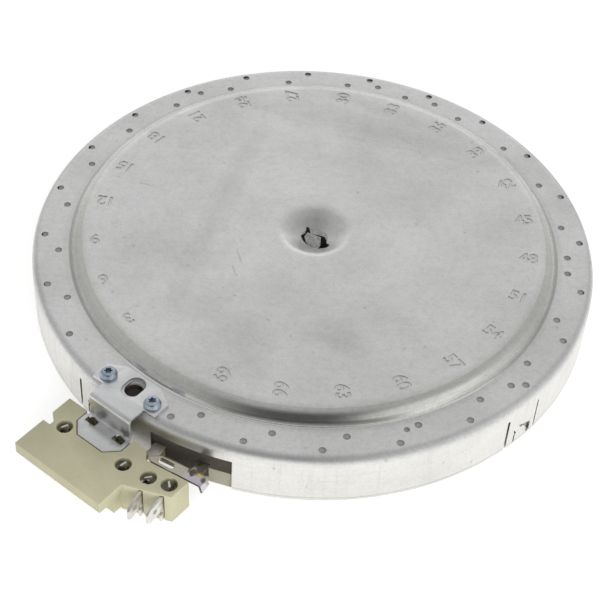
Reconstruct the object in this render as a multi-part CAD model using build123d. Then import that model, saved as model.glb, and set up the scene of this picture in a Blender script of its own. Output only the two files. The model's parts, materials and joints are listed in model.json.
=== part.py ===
from build123d import *
from math import cos, hypot, radians, sin
import os

# Radiant heating element for a glass-ceramic hob, lying with its heating face
# down: Z = 0 is the plane where the insulation ring meets the glass, the pan
# axis is Z, and the temperature limiter points to -Y.  All sizes are in mm.

# steel pan
pan_dia = 200.0
pan_sheet = 0.6
wall_height = 20.3
wall_draft = 0.2
rim_corner_radius = 2.6
rim_land_width = 13.6
step_rise = 4.7
step_run = 1.8
step_top_share = 0.88
step_foot_radius = 0.5
dimple_dia = 24.0
dimple_depth = 4.4
dimple_floor_dia = 9.0
dimple_edge_radius = 4.5
dimple_floor_radius = 2.5
anchor_tab_size = 4.6
anchor_slit_width = 0.8
cut_reach = 4.0

# rim holes
rim_hole_dia = 2.5
inner_ring_inset = 9.56
outer_ring_inset = 4.40
spare_ring_inset = 7.55
rim_hole_pitch = 15.0
outer_ring_lead = 5.0
spare_hole_angles = (112.5, 157.5, 172.5, 277.5, 302.5)
service_hole_dia = 6.3

# spring tongues of the wall
tongue_count = 4
tongue_first_angle = 7.5
tongue_half_angle = 4.2
tongue_slit_width = 0.7
tongue_slit_top = 6.3
flap_half_width = 3.9
flap_top = 13.1
flap_bottom = 18.7
flap_push = 1.2
flap_inset = 0.05
flap_root = 0.4
flap_tip_gap = 0.3
flap_side_gap = 0.5

# wall openings
notch_from_angle = 7.0
notch_to_angle = 23.6
notch_top = 6.3
tube_slot_clearance = 1.2

# insulation
ring_proud = 1.0
ring_height = 9.5
ring_width = 9.1
insulation_clearance = 0.3
groove_end_gap = 0.4
pocket_wall = 1.0

# heater ribbon
ribbon_height = 2.7
ribbon_thickness = 0.5
ribbon_edge_clearance = 6.2
ribbon_arcs = 11
ribbon_end_angle = 20.5
lead_width = 4.0
lead_thickness = 0.6
lead_seat_gap = 0.05
inner_lead_angle = 8.8
outer_lead_angle = 17.8
inner_lead_reach = 5.0
outer_lead_reach = 7.2

# bracket
bracket_sheet = 1.0
flange_half_width = 13.4
flange_inner_half_width = 7.0
flange_inner_inset = 11.8
flange_corner_inset = 8.4
flange_wing_inset = 1.7
neck_half_width = 8.7
web_gap = 4.0
foot_half_width = 9.5
foot_nose_half_width = 5.4
foot_length = 10.1
foot_chamfer = 4.1
slot_length = 9.0
slot_width = 6.4
slot_inset = 6.4
screw_half_spacing = 9.6
screw_inset = 5.0
screw_head_dia = 5.8
screw_head_height = 2.3
screw_shank_dia = 2.9
screw_length = 6.0
screw_clearance = 0.15
bend_radius = 0.8

# limiter housing
housing_gap = 5.3
housing_top_drop = 7.7
foot_recess = 1.3
foot_recess_margin = 0.5
plate_left = 17.8
plate_right = 19.0
plate_depth = 24.4
key_notch_width = 4.1
key_notch_depth = 2.9
key_notch_inset = 7.8
block_right = 34.1
block_front_depth = 8.0
block_step_depth = 14.3
block_rear_step = 2.4
lug_half_width = 3.0
lug_centre_x = 13.2
lug_reach = 0.7
box_left = 9.5
box_depth = 17.5
box_right = 18.1
cavity_right = 16.0
box_wall = 1.0
box_side_wall = 1.5
cover_thickness = 0.8
cover_fit = 0.1
rivet_post_dia = 4.5
rivet_shank_dia = 2.0
rivet_head_dia = 3.6
rivet_head_rise = 0.5
rivet_post_inset = 3.5
rivet_left_x = -5.6
rivet_right_x = 13.4
rivet_grip = 4.0
counterbore_dia = 5.5
signal_lug_x = -10.7
signal_lug_inset = 9.4
power_lug_x = 13.9
power_lug_offset = 1.2
line_lug_x = 23.4
line_lug_offset = 1.35
neutral_lug_x = 30.2
neutral_lug_inset = 4.7
counterbore_depth = 2.6
lug_slot_clearance = 0.25

# limiter tube and rod
tube_dia = 4.4
tube_bore = 2.4
tube_heater_gap = 0.6
tube_far_inset = 6.0
tube_fit = 0.05
rod_dia = 1.8
rod_travel = 1.0
rod_fit = 0.05
anchor_length = 6.0
anchor_flange = 0.8
anchor_fit = 0.02
anchor_socket = 4.5
holder_sheet = 0.8
holder_half_width = 7.4
holder_lug_x = 5.9
twist_lug_width = 2.4
twist_lug_head = 2.0
twist_angle = 45.0
plunger_dia = 2.8
plunger_tip_dia = 1.2
plunger_socket = 0.6
push_gap = 0.3

# contacts
leaf_sheet = 0.3
leaf_width = 3.2
leaf_gap = 1.3
leaf_floor_gap = 0.8
rivet_dia = 2.4
rivet_height = 0.4
contact_gap = 0.25
closed_gap = 0.05
strip_sheet = 0.6
strip_width = 1.6
strip_gap = 0.8
strip_clearance = 0.3
tab_width = 2.0
carrier_width = 2.5
carrier_reach = 3.3
signal_pivot_x = -7.0
signal_contact_x = 5.5
power_pivot_x = 12.5
power_contact_x = -4.5
signal_blade_width = 2.8
signal_blade_reach = 6.0

# spade terminals
blade_width = 6.3
blade_sheet = 0.8
blade_length = 8.0
blade_tip_width = 4.0
blade_tip_length = 1.8
blade_hole_dia = 1.8
blade_hole_inset = 4.0
blade_slot_width = 1.4
prong_height = 3.0
prong_reach = 1.3
line_blade_x = 24.7
line_blade_angle = 14.0
neutral_blade_x = 31.2
neutral_blade_angle = 6.0

# connecting strap
strap_sheet = 0.8
strap_left = 18.6
strap_right = 38.6
strap_width = 5.0
strap_rear_gap = 0.3
strap_hook_drop = 4.0
strap_eye_length = 5.0
strap_eye_width = 2.4

# levels and radii that follow from the sizes above
pan_r = pan_dia / 2
rim_z = ring_proud + wall_height
disc_z = rim_z + step_rise
foot_r = pan_r - rim_land_width
step_slope = hypot(step_run, step_rise)
step_top_radius = step_top_share * step_slope * (step_slope + step_run) / step_rise
step_tangent_r = foot_r - step_run - step_top_share * step_slope
wall_inner_r = pan_r - wall_draft - pan_sheet
ring_outer_r = wall_inner_r - insulation_clearance
ring_inner_r = ring_outer_r - ring_width
ribbon_pitch = (ring_inner_r - ribbon_edge_clearance) / ribbon_arcs
web_y = -(pan_r + web_gap)
housing_y = -(pan_r + housing_gap)
housing_top = rim_z - housing_top_drop
plate_bottom = ring_height - lead_thickness
foot_top = housing_top - foot_recess + bracket_sheet
tube_r = tube_dia / 2
tube_z = ring_height - ribbon_height - tube_heater_gap - tube_r
cover_top = tube_z - leaf_width / 2 - leaf_floor_gap
block_bottom_z = cover_top - cover_thickness
rod_r = rod_dia / 2
holder_rear_y = housing_y - box_wall
holder_front_y = holder_rear_y - holder_sheet
tube_far_y = ring_outer_r - tube_far_inset
box_front_y = housing_y - box_depth
plunger_shoulder_y = holder_front_y - leaf_gap
signal_leaf_y = plunger_shoulder_y - push_gap
signal_swing = rod_travel * (signal_contact_x - signal_pivot_x) / (-signal_pivot_x)
signal_strip_y = signal_leaf_y - leaf_sheet - 2 * rivet_height - signal_swing - contact_gap
power_strip_y = signal_strip_y - strip_sheet - strip_gap
power_leaf_y = power_strip_y - strip_sheet - 2 * rivet_height - closed_gap
plunger_tip_y = power_leaf_y + push_gap
strip_top_z = plate_bottom - strip_sheet - strip_clearance
blade_top_z = housing_top - strap_sheet
counterbore_z = housing_top - counterbore_depth


def polar(radius, azimuth):
    """Point at an azimuth from -Y, positive towards +X."""
    return radius * sin(radians(azimuth)), -radius * cos(radians(azimuth))


def block(x0, x1, y0, y1, z0, z1):
    """Box between two corners."""
    centre = Pos((x0 + x1) / 2, (y0 + y1) / 2, (z0 + z1) / 2)
    return centre * Box(abs(x1 - x0), abs(y1 - y0), abs(z1 - z0))


def prism(points, z0, z1):
    """Upright solid over a flat outline."""
    outline = make_face(Polyline(*points, close=True))
    return extrude(Pos(0, 0, z0) * outline, z1 - z0)


def rod_along_y(radius, y0, y1, x, z):
    """Round bar along Y."""
    return Pos(x, (y0 + y1) / 2, z) * Rot(90, 0, 0) * Cylinder(radius, abs(y1 - y0))


def sector(radius_in, radius_out, from_angle, to_angle, z0, z1):
    """Ring sector between two azimuths, for cutting the wall."""
    steps = 8
    span = [from_angle + (to_angle - from_angle) * i / steps for i in range(steps + 1)]
    outline = [polar(radius_in, a) for a in span]
    outline += [polar(radius_out, a) for a in reversed(span)]
    return prism(outline, z0, z1)


def offset_line(points, distance):
    """Polyline shifted sideways by a distance, with mitred corners."""
    shifted = []
    for i, (x, y) in enumerate(points):
        normals = []
        if i > 0:
            px, py = points[i - 1]
            length = hypot(x - px, y - py)
            normals.append((-(y - py) / length, (x - px) / length))
        if i < len(points) - 1:
            qx, qy = points[i + 1]
            length = hypot(qx - x, qy - y)
            normals.append((-(qy - y) / length, (qx - x) / length))
        nx = sum(n[0] for n in normals)
        ny = sum(n[1] for n in normals)
        scale = distance * len(normals) / (nx * nx + ny * ny)
        shifted.append((x + nx * scale, y + ny * scale))
    return shifted


def round_corner(face, corner, radius):
    """Face with its vertex nearest to a corner rounded."""
    vertex = face.vertices().sort_by_distance(Vector(*corner))[0]
    return fillet(vertex, radius)


def tongue_angles():
    """Azimuths of the spring tongues."""
    return [-(tongue_first_angle + 360 / tongue_count * i) for i in range(tongue_count)]


def rim_hole_places():
    """Radius and azimuth of every small hole in the rim."""
    inner_r = pan_r - inner_ring_inset
    outer_r = pan_r - outer_ring_inset
    places = [(inner_r, -rim_hole_pitch * i) for i in range(2, 24)]
    places += [(outer_r, -(outer_ring_lead + rim_hole_pitch * i)) for i in range(1, 24)]
    places += [(pan_r - spare_ring_inset, -angle) for angle in spare_hole_angles]
    return places


def turned(shape, x, y, angle):
    """Shape drawn along -Y from the origin, placed at x, y and turned about Z."""
    return Pos(x, y, 0) * Rot(0, 0, angle) * shape


def twisted_lug(x, y, z0, z1, sheet):
    """Upright lug with a twisted head above z1."""
    half = twist_lug_width / 2
    stem = block(-half, half, -sheet / 2, sheet / 2, z0, z1 + twist_lug_head / 4)
    head = block(-half, half, -sheet / 2, sheet / 2, z1 + twist_lug_head / 8, z1 + twist_lug_head)
    return Pos(x, y, 0) * (stem + Rot(0, 0, twist_angle) * head)


def lug_slot(x, y, z0, z1, sheet):
    """Clearance slot for a twisted lug."""
    half = twist_lug_width / 2 + lug_slot_clearance
    deep = sheet / 2 + lug_slot_clearance
    return block(x - half, x + half, y - deep, y + deep, z0, z1)


def make_pan():
    """Drawn steel pan with its stepped bottom, dimple, holes, notch and tongues."""
    outer = [
        (pan_r, ring_proud),
        (pan_r - wall_draft, rim_z),
        (foot_r, rim_z),
        (foot_r - step_run, disc_z),
        (dimple_dia / 2, disc_z),
        (dimple_floor_dia / 2, disc_z - dimple_depth),
        (0, disc_z - dimple_depth),
    ]
    inner = offset_line(outer, pan_sheet)
    profile = make_face(Polyline(*outer, *reversed(inner), close=True))
    roundings = [
        (1, rim_corner_radius, rim_corner_radius - pan_sheet),
        (2, step_foot_radius, step_foot_radius + pan_sheet),
        (3, step_top_radius, step_top_radius - pan_sheet),
        (4, dimple_edge_radius, dimple_edge_radius - pan_sheet),
        (5, dimple_floor_radius, dimple_floor_radius + pan_sheet),
    ]
    for index, outer_radius, inner_radius in roundings:
        profile = round_corner(profile, outer[index], outer_radius)
        profile = round_corner(profile, inner[index], inner_radius)
    pan = revolve(Plane.XZ * profile, Axis.Z)
    cuts = []
    for radius, azimuth in rim_hole_places():
        x, y = polar(radius, azimuth)
        cuts.append(Pos(x, y, rim_z) * Cylinder(rim_hole_dia / 2, 4 * pan_sheet))
    service_y = -(pan_r - slot_inset)
    cuts.append(Pos(0, service_y, rim_z) * Cylinder(service_hole_dia / 2, 4 * pan_sheet))
    for side in (-1, 1):
        place = Pos(side * screw_half_spacing, -(pan_r - screw_inset), rim_z)
        cuts.append(place * Cylinder(screw_shank_dia / 2 + screw_clearance, 4 * pan_sheet))
    notch_z = rim_z - notch_top
    inside, outside = pan_r - cut_reach, pan_r + cut_reach
    cuts.append(sector(inside, outside, notch_from_angle, notch_to_angle, 0, notch_z))
    slot_half = tube_r + tube_slot_clearance
    cuts.append(block(-slot_half, slot_half, -outside, -inside, 0, tube_z + slot_half))
    slit_z = rim_z - tongue_slit_top
    for azimuth in tongue_angles():
        for side in (-1, 1):
            half = tongue_slit_width / 2
            slit = block(-half, half, -outside, -inside, 0, slit_z)
            cuts.append(Rot(0, 0, azimuth + side * tongue_half_angle) * slit)
        low, high = rim_z - flap_bottom, rim_z - flap_top
        window = block(-flap_half_width, flap_half_width, -outside, -inside, low, high)
        cuts.append(Rot(0, 0, azimuth) * window)
    floor_z = disc_z - dimple_depth
    tab_half = anchor_tab_size / 2
    below, above = floor_z - cut_reach / 2, floor_z + cut_reach / 2
    for side in (-1, 1):
        edge = side * (tab_half - anchor_slit_width / 2)
        half = anchor_slit_width / 2
        cuts.append(block(edge - half, edge + half, -tab_half, tab_half, below, above))
    pan = pan - cuts
    flaps = []
    for azimuth in tongue_angles():
        low = (-(pan_r - flap_inset), rim_z - flap_bottom - flap_root)
        high = (-(pan_r - flap_push), rim_z - flap_top - flap_tip_gap)
        outline = [low, high, (high[0] + pan_sheet, high[1]), (low[0] + pan_sheet, low[1])]
        side = make_face(Polyline(*outline, close=True))
        flap = extrude(Plane.YZ * side, flap_half_width - flap_side_gap, both=True)
        flaps.append(Rot(0, 0, azimuth) * flap)
    return pan + flaps


def make_insulation_base():
    """Pressed microporous disc that fills the pan and carries the heater."""
    under_rim = rim_z - pan_sheet
    under_disc = disc_z - pan_sheet
    relief = rim_corner_radius
    cone_top_r = dimple_dia / 2 + dimple_depth
    cone_low_z = disc_z - dimple_depth - pan_sheet - insulation_clearance
    profile = [
        (0, ring_height),
        (ring_outer_r, ring_height),
        (ring_outer_r, under_rim - relief),
        (ring_outer_r - relief, under_rim),
        (foot_r - 3 * pan_sheet, under_rim),
        (step_tangent_r, under_disc),
        (cone_top_r, under_disc),
        (dimple_floor_dia / 2 + pan_sheet, cone_low_z),
        (0, cone_low_z),
    ]
    disc = revolve(Plane.XZ * make_face(Polyline(*profile, close=True)), Axis.Z)
    cuts = []
    for side in (-1, 1):
        place = Pos(side * screw_half_spacing, -(pan_r - screw_inset), under_rim)
        cuts.append(place * Cylinder(screw_shank_dia / 2 + screw_clearance, 2 * screw_length))
    service_r = service_hole_dia / 2 + screw_clearance
    cuts.append(Pos(0, -(pan_r - slot_inset), under_rim) * Cylinder(service_r, 2 * screw_length))
    return disc - cuts


def make_insulation_ring():
    """Ring between base and glass, with grooves for the tube, leads and flaps."""
    ring = Cylinder(ring_outer_r, ring_height) - Cylinder(ring_inner_r, ring_height)
    ring = Pos(0, 0, ring_height / 2) * ring
    groove_r = tube_r + tube_fit
    near_end = -ring_inner_r + cut_reach
    near = block(-groove_r, groove_r, -pan_r, near_end, -cut_reach, tube_z)
    near_top = rod_along_y(groove_r, -pan_r, near_end, 0, tube_z)
    far_end = tube_far_y + anchor_flange + groove_end_gap
    far = block(-groove_r, groove_r, -near_end, far_end, -cut_reach, tube_z)
    far_top = rod_along_y(groove_r, -near_end, far_end, 0, tube_z)
    cuts = [near, near_top, far, far_top]
    half = lead_width / 2 + lug_slot_clearance
    for azimuth in (inner_lead_angle, outer_lead_angle):
        low = ring_height - lead_thickness - lug_slot_clearance
        lead_path = block(-half, half, -pan_r, near_end, low, ring_height + cut_reach)
        cuts.append(Rot(0, 0, azimuth) * lead_path)
    for azimuth in tongue_angles():
        depth = pan_r - flap_push - pan_sheet - insulation_clearance
        pocket_top = ring_height - pocket_wall
        pocket = block(-flap_half_width, flap_half_width, -pan_r, -depth, pocket_wall, pocket_top)
        cuts.append(Rot(0, 0, azimuth) * pocket)
    return ring - cuts


def ribbon_end_radii():
    """Distance from the axis of the inner and outer ribbon ends."""
    tail_radius = (ribbon_arcs - 0.5) * ribbon_pitch
    shift = ribbon_pitch / 2
    turn = radians(ribbon_end_angle - inner_lead_angle)
    inner = (tail_radius ** 2 - (shift * sin(turn)) ** 2) ** 0.5 - shift * cos(turn)
    return inner, ribbon_arcs * ribbon_pitch


def half_ring(centre_x, radius, upper):
    """Flat half ring of the ribbon's thickness."""
    half = ribbon_thickness / 2
    ring = Circle(radius + half) - Circle(radius - half)
    side = Pos(0, radius if upper else -radius) * Rectangle(3 * radius, 2 * radius)
    return Pos(centre_x, 0) * (ring & side)


def make_heater_ribbon():
    """Heater band on edge on the base: two spiral arms joined by an S-bend."""
    bands = []
    for k in range(ribbon_arcs):
        radius = (k + 0.5) * ribbon_pitch
        bands.append(half_ring(ribbon_pitch / 2, radius, True))
        if k < ribbon_arcs - 1:
            bands.append(half_ring(-ribbon_pitch / 2, radius, False))
    tail_radius = (ribbon_arcs - 0.5) * ribbon_pitch
    tail_turn = ribbon_end_angle - inner_lead_angle
    reach = 2 * tail_radius
    wedge = [(0, 0), (reach, 0), (reach * cos(radians(tail_turn)), -reach * sin(radians(tail_turn)))]
    tail = half_ring(-ribbon_pitch / 2, tail_radius, False)
    bands.append(tail & make_face(Polyline(*wedge, close=True)))
    solids = [extrude(Pos(0, 0, ring_height - ribbon_height) * band, ribbon_height) for band in bands]
    ribbon = solids[0] + solids[1:]
    return Rot(0, 0, ribbon_end_angle - 90) * ribbon


def radial_lead(start_r, end_r, azimuth):
    """Flat lead strip that lies on the base and leaves through the ring."""
    low = ring_height - lead_thickness
    strip = block(-lead_width / 2, lead_width / 2, -end_r, -start_r, low, ring_height)
    return Rot(0, 0, azimuth) * strip


def make_inner_lead():
    """Lead from the inner ribbon end to the power contact carrier."""
    start = ribbon_end_radii()[0] + ribbon_thickness / 2 + lead_seat_gap
    return radial_lead(start, pan_r + inner_lead_reach, inner_lead_angle)


def make_outer_lead():
    """Lead from the outer ribbon end, with a lug twisted over the strap."""
    start = ribbon_end_radii()[1] + ribbon_thickness / 2 + lead_seat_gap
    end = pan_r + outer_lead_reach
    strip = radial_lead(start, end, outer_lead_angle)
    lug = twisted_lug(0, -(end - lead_thickness), ring_height - lead_thickness, housing_top, lead_thickness)
    return strip + Rot(0, 0, outer_lead_angle) * lug


def make_bracket():
    """Folded bracket from the rim to the limiter housing."""
    low = foot_top - bracket_sheet
    high = rim_z + bracket_sheet
    front = web_y - bracket_sheet
    flange_rear = -(pan_r - flange_wing_inset - 1)
    foot_front = web_y - foot_length
    path = [
        (flange_rear, high),
        (front, high),
        (front, foot_top),
        (foot_front + foot_chamfer, foot_top),
        (foot_front + foot_chamfer, low),
        (web_y, low),
        (web_y, rim_z),
        (flange_rear, rim_z),
    ]
    side = make_face(Polyline(*path, close=True))
    outside_radius = bend_radius + bracket_sheet
    for index, radius in [(1, outside_radius), (6, bend_radius), (2, bend_radius), (5, outside_radius)]:
        side = round_corner(side, path[index], radius)
    fold = extrude(Plane.YZ * side, neck_half_width, both=True)
    flange_outline = [
        (flange_half_width, -(pan_r - flange_wing_inset)),
        (flange_half_width, -(pan_r - flange_corner_inset)),
        (flange_inner_half_width, -(pan_r - flange_inner_inset)),
        (-flange_inner_half_width, -(pan_r - flange_inner_inset)),
        (-flange_half_width, -(pan_r - flange_corner_inset)),
        (-flange_half_width, -(pan_r - flange_wing_inset)),
    ]
    flange = prism(flange_outline, rim_z, high)
    foot = prism(foot_outline(0), low, foot_top)
    bracket = fold + flange + foot
    slot = SlotOverall(slot_length, slot_width, rotation=90)
    cuts = [extrude(Pos(0, -(pan_r - slot_inset), rim_z - 1) * slot, 2 * bracket_sheet + 1)]
    for side_x in (-1, 1):
        place = Pos(side_x * screw_half_spacing, -(pan_r - screw_inset), rim_z)
        cuts.append(place * Cylinder(screw_shank_dia / 2 + screw_clearance, 4 * bracket_sheet))
        lug_y = holder_rear_y - holder_sheet / 2
        cuts.append(lug_slot(side_x * holder_lug_x, lug_y, low - 1, foot_top + 1, holder_sheet))
    return bracket - cuts


def foot_outline(margin):
    """Eight-sided outline of the bracket foot, grown by a margin."""
    half = foot_half_width + margin
    nose = foot_nose_half_width + margin / 2
    rear = web_y - bracket_sheet - bend_radius
    front = web_y - foot_length - margin
    side = front + foot_chamfer + margin / 2
    return [(half, rear), (half, side), (nose, front), (-nose, front), (-half, side), (-half, rear)]


def make_bracket_screws():
    """Two pan-head screws that hold the bracket flange on the rim."""
    screws = []
    seat = rim_z + bracket_sheet
    for side_x in (-1, 1):
        place = Pos(side_x * screw_half_spacing, -(pan_r - screw_inset), seat)
        head = Pos(0, 0, screw_head_height / 2) * Cylinder(screw_head_dia / 2, screw_head_height)
        head = fillet(head.edges().sort_by(Axis.Z)[-1], screw_head_height * 0.4)
        shank = Pos(0, 0, -screw_length / 2) * Cylinder(screw_shank_dia / 2, screw_length)
        screws.append(place * (head + shank))
    return Compound(children=screws)


def block_front_y(x):
    """Slanted front face of the terminal block at a given x."""
    rear_end = housing_y - block_step_depth
    front_end = housing_y - block_front_depth
    return rear_end + (front_end - rear_end) * (x - plate_right) / (block_right - plate_right)


def block_rear_y(x):
    """Rear face of the terminal block at a given x."""
    return housing_y - block_rear_step * (block_right - x) / (block_right - box_right)


def counterbores():
    """Places of the four counterbores in the housing face."""
    return [
        (signal_lug_x, housing_y - signal_lug_inset),
        (power_lug_x, power_leaf_y + power_lug_offset),
        (line_lug_x, power_strip_y - strip_sheet / 2 + line_lug_offset),
        (neutral_lug_x, housing_y - neutral_lug_inset),
    ]


def rivet_places():
    """Places of the two cover rivets."""
    y = box_front_y + rivet_post_inset
    return [(rivet_left_x, y), (rivet_right_x, y)]


def terminal_slot(x, angle, depth):
    """Slot, open below, for a spade terminal."""
    half = blade_slot_width / 2
    slot = block(-half, half, -3, depth, -1, blade_top_z + lug_slot_clearance)
    return turned(slot, x, block_front_y(x), angle)


def neutral_depth():
    """Length of the neutral terminal behind the block front."""
    front = block_front_y(neutral_blade_x)
    return block_rear_y(neutral_blade_x) + strap_width * 0.7 - front


def make_housing():
    """Steatite housing: cover plate, terminal block and switch box in one piece."""
    rear = housing_y
    front = housing_y - plate_depth
    notch_low = rear - key_notch_inset - key_notch_width
    notch_in = -(plate_left - key_notch_depth)
    plate_outline = [
        (-plate_left, rear),
        (-plate_left, rear - key_notch_inset),
        (notch_in, rear - key_notch_inset - key_notch_width / 2),
        (notch_in, notch_low),
        (-plate_left, notch_low),
        (-plate_left, front),
        (plate_right, front),
        (plate_right, block_front_y(plate_right)),
        (block_right, block_front_y(block_right)),
        (block_right, rear),
        (box_right, rear - block_rear_step),
        (lug_centre_x + lug_half_width, rear),
        (lug_centre_x + lug_half_width * 0.7, rear + lug_reach),
        (lug_centre_x - lug_half_width, rear + lug_reach),
        (lug_centre_x - lug_half_width, rear),
    ]
    plate = prism(plate_outline, plate_bottom, housing_top)
    block_outline = [
        (box_right, block_rear_y(box_right)),
        (block_right, rear),
        (block_right, block_front_y(block_right)),
        (plate_right, block_front_y(plate_right)),
        (box_right, block_front_y(plate_right)),
    ]
    terminal_block = prism(block_outline, block_bottom_z, housing_top)
    box = block(-box_left, box_right, rear, box_front_y, cover_top, plate_bottom)
    cavity_left = -(box_left - box_side_wall)
    cavity_front = box_front_y + box_side_wall
    cavity = block(cavity_left, cavity_right, holder_rear_y, cavity_front, cover_top - 1, plate_bottom)
    posts = []
    for x, y in rivet_places():
        height = plate_bottom - cover_top
        post = Pos(x, y, cover_top + height / 2) * Cylinder(rivet_post_dia / 2, height)
        posts.append(post - Pos(x, y, cover_top) * Cylinder(rivet_shank_dia / 2, 2 * rivet_grip))
    housing = plate + terminal_block + (box - cavity) + posts
    cuts = [prism(foot_outline(foot_recess_margin), housing_top - foot_recess, housing_top + 1)]
    recess_half = foot_half_width + foot_recess_margin
    recess_front = web_y - bracket_sheet - bend_radius - 1
    recess_floor = housing_top - foot_recess
    cuts.append(block(-recess_half, recess_half, rear + 1, recess_front, recess_floor, housing_top + 1))
    for x, y in counterbores():
        cuts.append(Pos(x, y, housing_top) * Cylinder(counterbore_dia / 2, 2 * counterbore_depth))
    lug_y = holder_rear_y - holder_sheet / 2
    for side_x in (-1, 1):
        cuts.append(lug_slot(side_x * holder_lug_x, lug_y, plate_bottom - 1, housing_top, holder_sheet))
    arm_y = housing_y - signal_lug_inset
    cuts.append(lug_slot(signal_lug_x, arm_y, plate_bottom - 1, housing_top, strip_sheet))
    power_lug_y = power_leaf_y + power_lug_offset
    cuts.append(lug_slot(power_lug_x, power_lug_y, plate_bottom - 1, housing_top, strip_sheet))
    cuts.append(terminal_slot(line_blade_x, line_blade_angle, line_depth() + lug_slot_clearance))
    cuts.append(terminal_slot(neutral_blade_x, neutral_blade_angle, neutral_depth() + 2))
    gap = lug_slot_clearance
    bar_front = power_strip_y - strip_sheet - gap
    bar_top = strip_top_z + gap
    bar_rear = power_strip_y + gap
    bar_right = line_lug_x + 1.5
    cuts.append(block(cavity_right - 1, bar_right, bar_front, bar_rear, block_bottom_z - 1, bar_top))
    cuts.append(lug_slot(line_lug_x, power_strip_y - strip_sheet / 2, strip_top_z, housing_top, strip_sheet))
    strip_front = signal_strip_y - strip_sheet - gap
    wall_left, wall_right = -box_left - 1, cavity_left + 1
    cuts.append(block(wall_left, wall_right, strip_front, signal_strip_y + gap, block_bottom_z, bar_top))
    deep = strip_sheet / 2 + gap
    cuts.append(block(wall_left, wall_right, arm_y - deep, arm_y + deep, block_bottom_z, plate_bottom))
    left, right = carrier_left() - gap, carrier_left() + carrier_width + gap
    carrier_low = plate_bottom - strip_sheet - gap
    cuts.append(block(left, right, rear + 1, holder_rear_y - 1, carrier_low, plate_bottom))
    groove = tube_r + tube_fit
    cuts.append(block(-groove, groove, rear + 1, holder_rear_y, block_bottom_z, tube_z))
    cuts.append(rod_along_y(groove, rear + 1, holder_rear_y, 0, tube_z))
    return housing - cuts


def carrier_left():
    """Left edge of the power contact carrier where it leaves the box."""
    return cavity_right - carrier_width - strip_clearance


def make_cover():
    """Steatite plate that closes the switch box."""
    plate = block(-box_left, box_right - cover_fit, housing_y, box_front_y, block_bottom_z, cover_top)
    hole = Cylinder(rivet_shank_dia / 2, 4 * cover_thickness)
    return plate - [Pos(x, y, block_bottom_z) * hole for x, y in rivet_places()]


def make_cover_rivets():
    """Two rivets that hold the cover."""
    rivets = []
    for x, y in rivet_places():
        head_z = block_bottom_z - rivet_head_rise / 2
        head = Pos(x, y, head_z) * Cylinder(rivet_head_dia / 2, rivet_head_rise)
        length = cover_thickness + rivet_grip
        shank = Pos(x, y, block_bottom_z + length / 2) * Cylinder(rivet_shank_dia / 2, length)
        rivets.append(head + shank)
    return Compound(children=rivets)


def make_tube_holder():
    """Sheet plate in the box that stops the tube and ties the bracket foot."""
    low = cover_top + strip_clearance
    plate = block(-holder_half_width, holder_half_width, holder_front_y, holder_rear_y, low, plate_bottom)
    lug_y = holder_rear_y - holder_sheet / 2
    places = (-holder_lug_x, holder_lug_x)
    lugs = [twisted_lug(x, lug_y, plate_bottom - 1, foot_top, holder_sheet) for x in places]
    hole = rod_along_y(rod_r + rod_fit, holder_front_y - 1, holder_rear_y + 1, 0, tube_z)
    return plate + lugs - hole


def make_tube():
    """Quartz tube of the limiter across the heated zone."""
    outside = rod_along_y(tube_r, holder_rear_y, tube_far_y, 0, tube_z)
    return outside - rod_along_y(tube_bore / 2, holder_rear_y - 1, tube_far_y + 1, 0, tube_z)


def make_rod_anchor():
    """Plug in the far tube end that holds the rod end."""
    plug_start = tube_far_y - anchor_length
    plug = rod_along_y(tube_bore / 2 - anchor_fit, plug_start, tube_far_y, 0, tube_z)
    flange = rod_along_y(tube_r - anchor_fit, tube_far_y, tube_far_y + anchor_flange, 0, tube_z)
    socket = rod_along_y(rod_r + rod_fit, plug_start - 1, plug_start + anchor_socket, 0, tube_z)
    return plug + flange - socket


def make_rod():
    """Metal expansion rod inside the tube."""
    front = holder_front_y - strip_clearance - plunger_socket
    rear = tube_far_y - anchor_length + anchor_socket - contact_gap
    return rod_along_y(rod_r, front, rear, 0, tube_z)


def make_plunger():
    """Stepped ceramic plunger on the rod end."""
    start = holder_front_y - strip_clearance
    collar = rod_along_y(plunger_dia / 2, plunger_shoulder_y, start, 0, tube_z)
    tip = rod_along_y(plunger_tip_dia / 2, plunger_tip_y, plunger_shoulder_y, 0, tube_z)
    socket = rod_along_y(rod_r, start - plunger_socket, start + 1, 0, tube_z)
    return collar + tip - socket


def leaf(x0, x1, y):
    """Contact leaf in a plane of constant y, its rear face at y."""
    return block(x0, x1, y - leaf_sheet, y, tube_z - leaf_width / 2, tube_z + leaf_width / 2)


def rivet(x, y0, y1):
    """Contact rivet between two y levels."""
    return rod_along_y(rivet_dia / 2, y0, y1, x, tube_z)


def make_signal_arm():
    """Leaf that closes the residual-heat signal contact."""
    arm = leaf(signal_pivot_x, signal_contact_x + rivet_dia / 2 + 0.5, signal_leaf_y)
    return arm - rod_along_y(plunger_tip_dia / 2 + 0.5, signal_leaf_y - 1, signal_leaf_y + 1, 0, tube_z)


def make_power_arm():
    """Leaf that opens the heater circuit."""
    return leaf(power_contact_x - rivet_dia / 2 - 0.5, power_pivot_x, power_leaf_y)


def down_tab(x0, x1, y):
    """Tab that drops from a strip to the height of the contacts."""
    low = tube_z - leaf_width / 2
    return block(x0, x1, y - strip_sheet, y, low, strip_top_z)


def make_signal_fixed_terminal():
    """Strip with the fixed signal contact and its small blade."""
    end = signal_contact_x + rivet_dia / 2
    start = -(box_left + signal_blade_reach)
    front = signal_strip_y - strip_sheet
    strip = block(start, end, front, signal_strip_y, strip_top_z - strip_width, strip_top_z)
    blade_end = -(box_left - box_side_wall)
    blade_low = strip_top_z - signal_blade_width
    blade = block(start, blade_end, front, signal_strip_y, blade_low, strip_top_z)
    tab = down_tab(signal_contact_x - rivet_dia / 2, end, signal_strip_y)
    return strip + blade + tab


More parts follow.
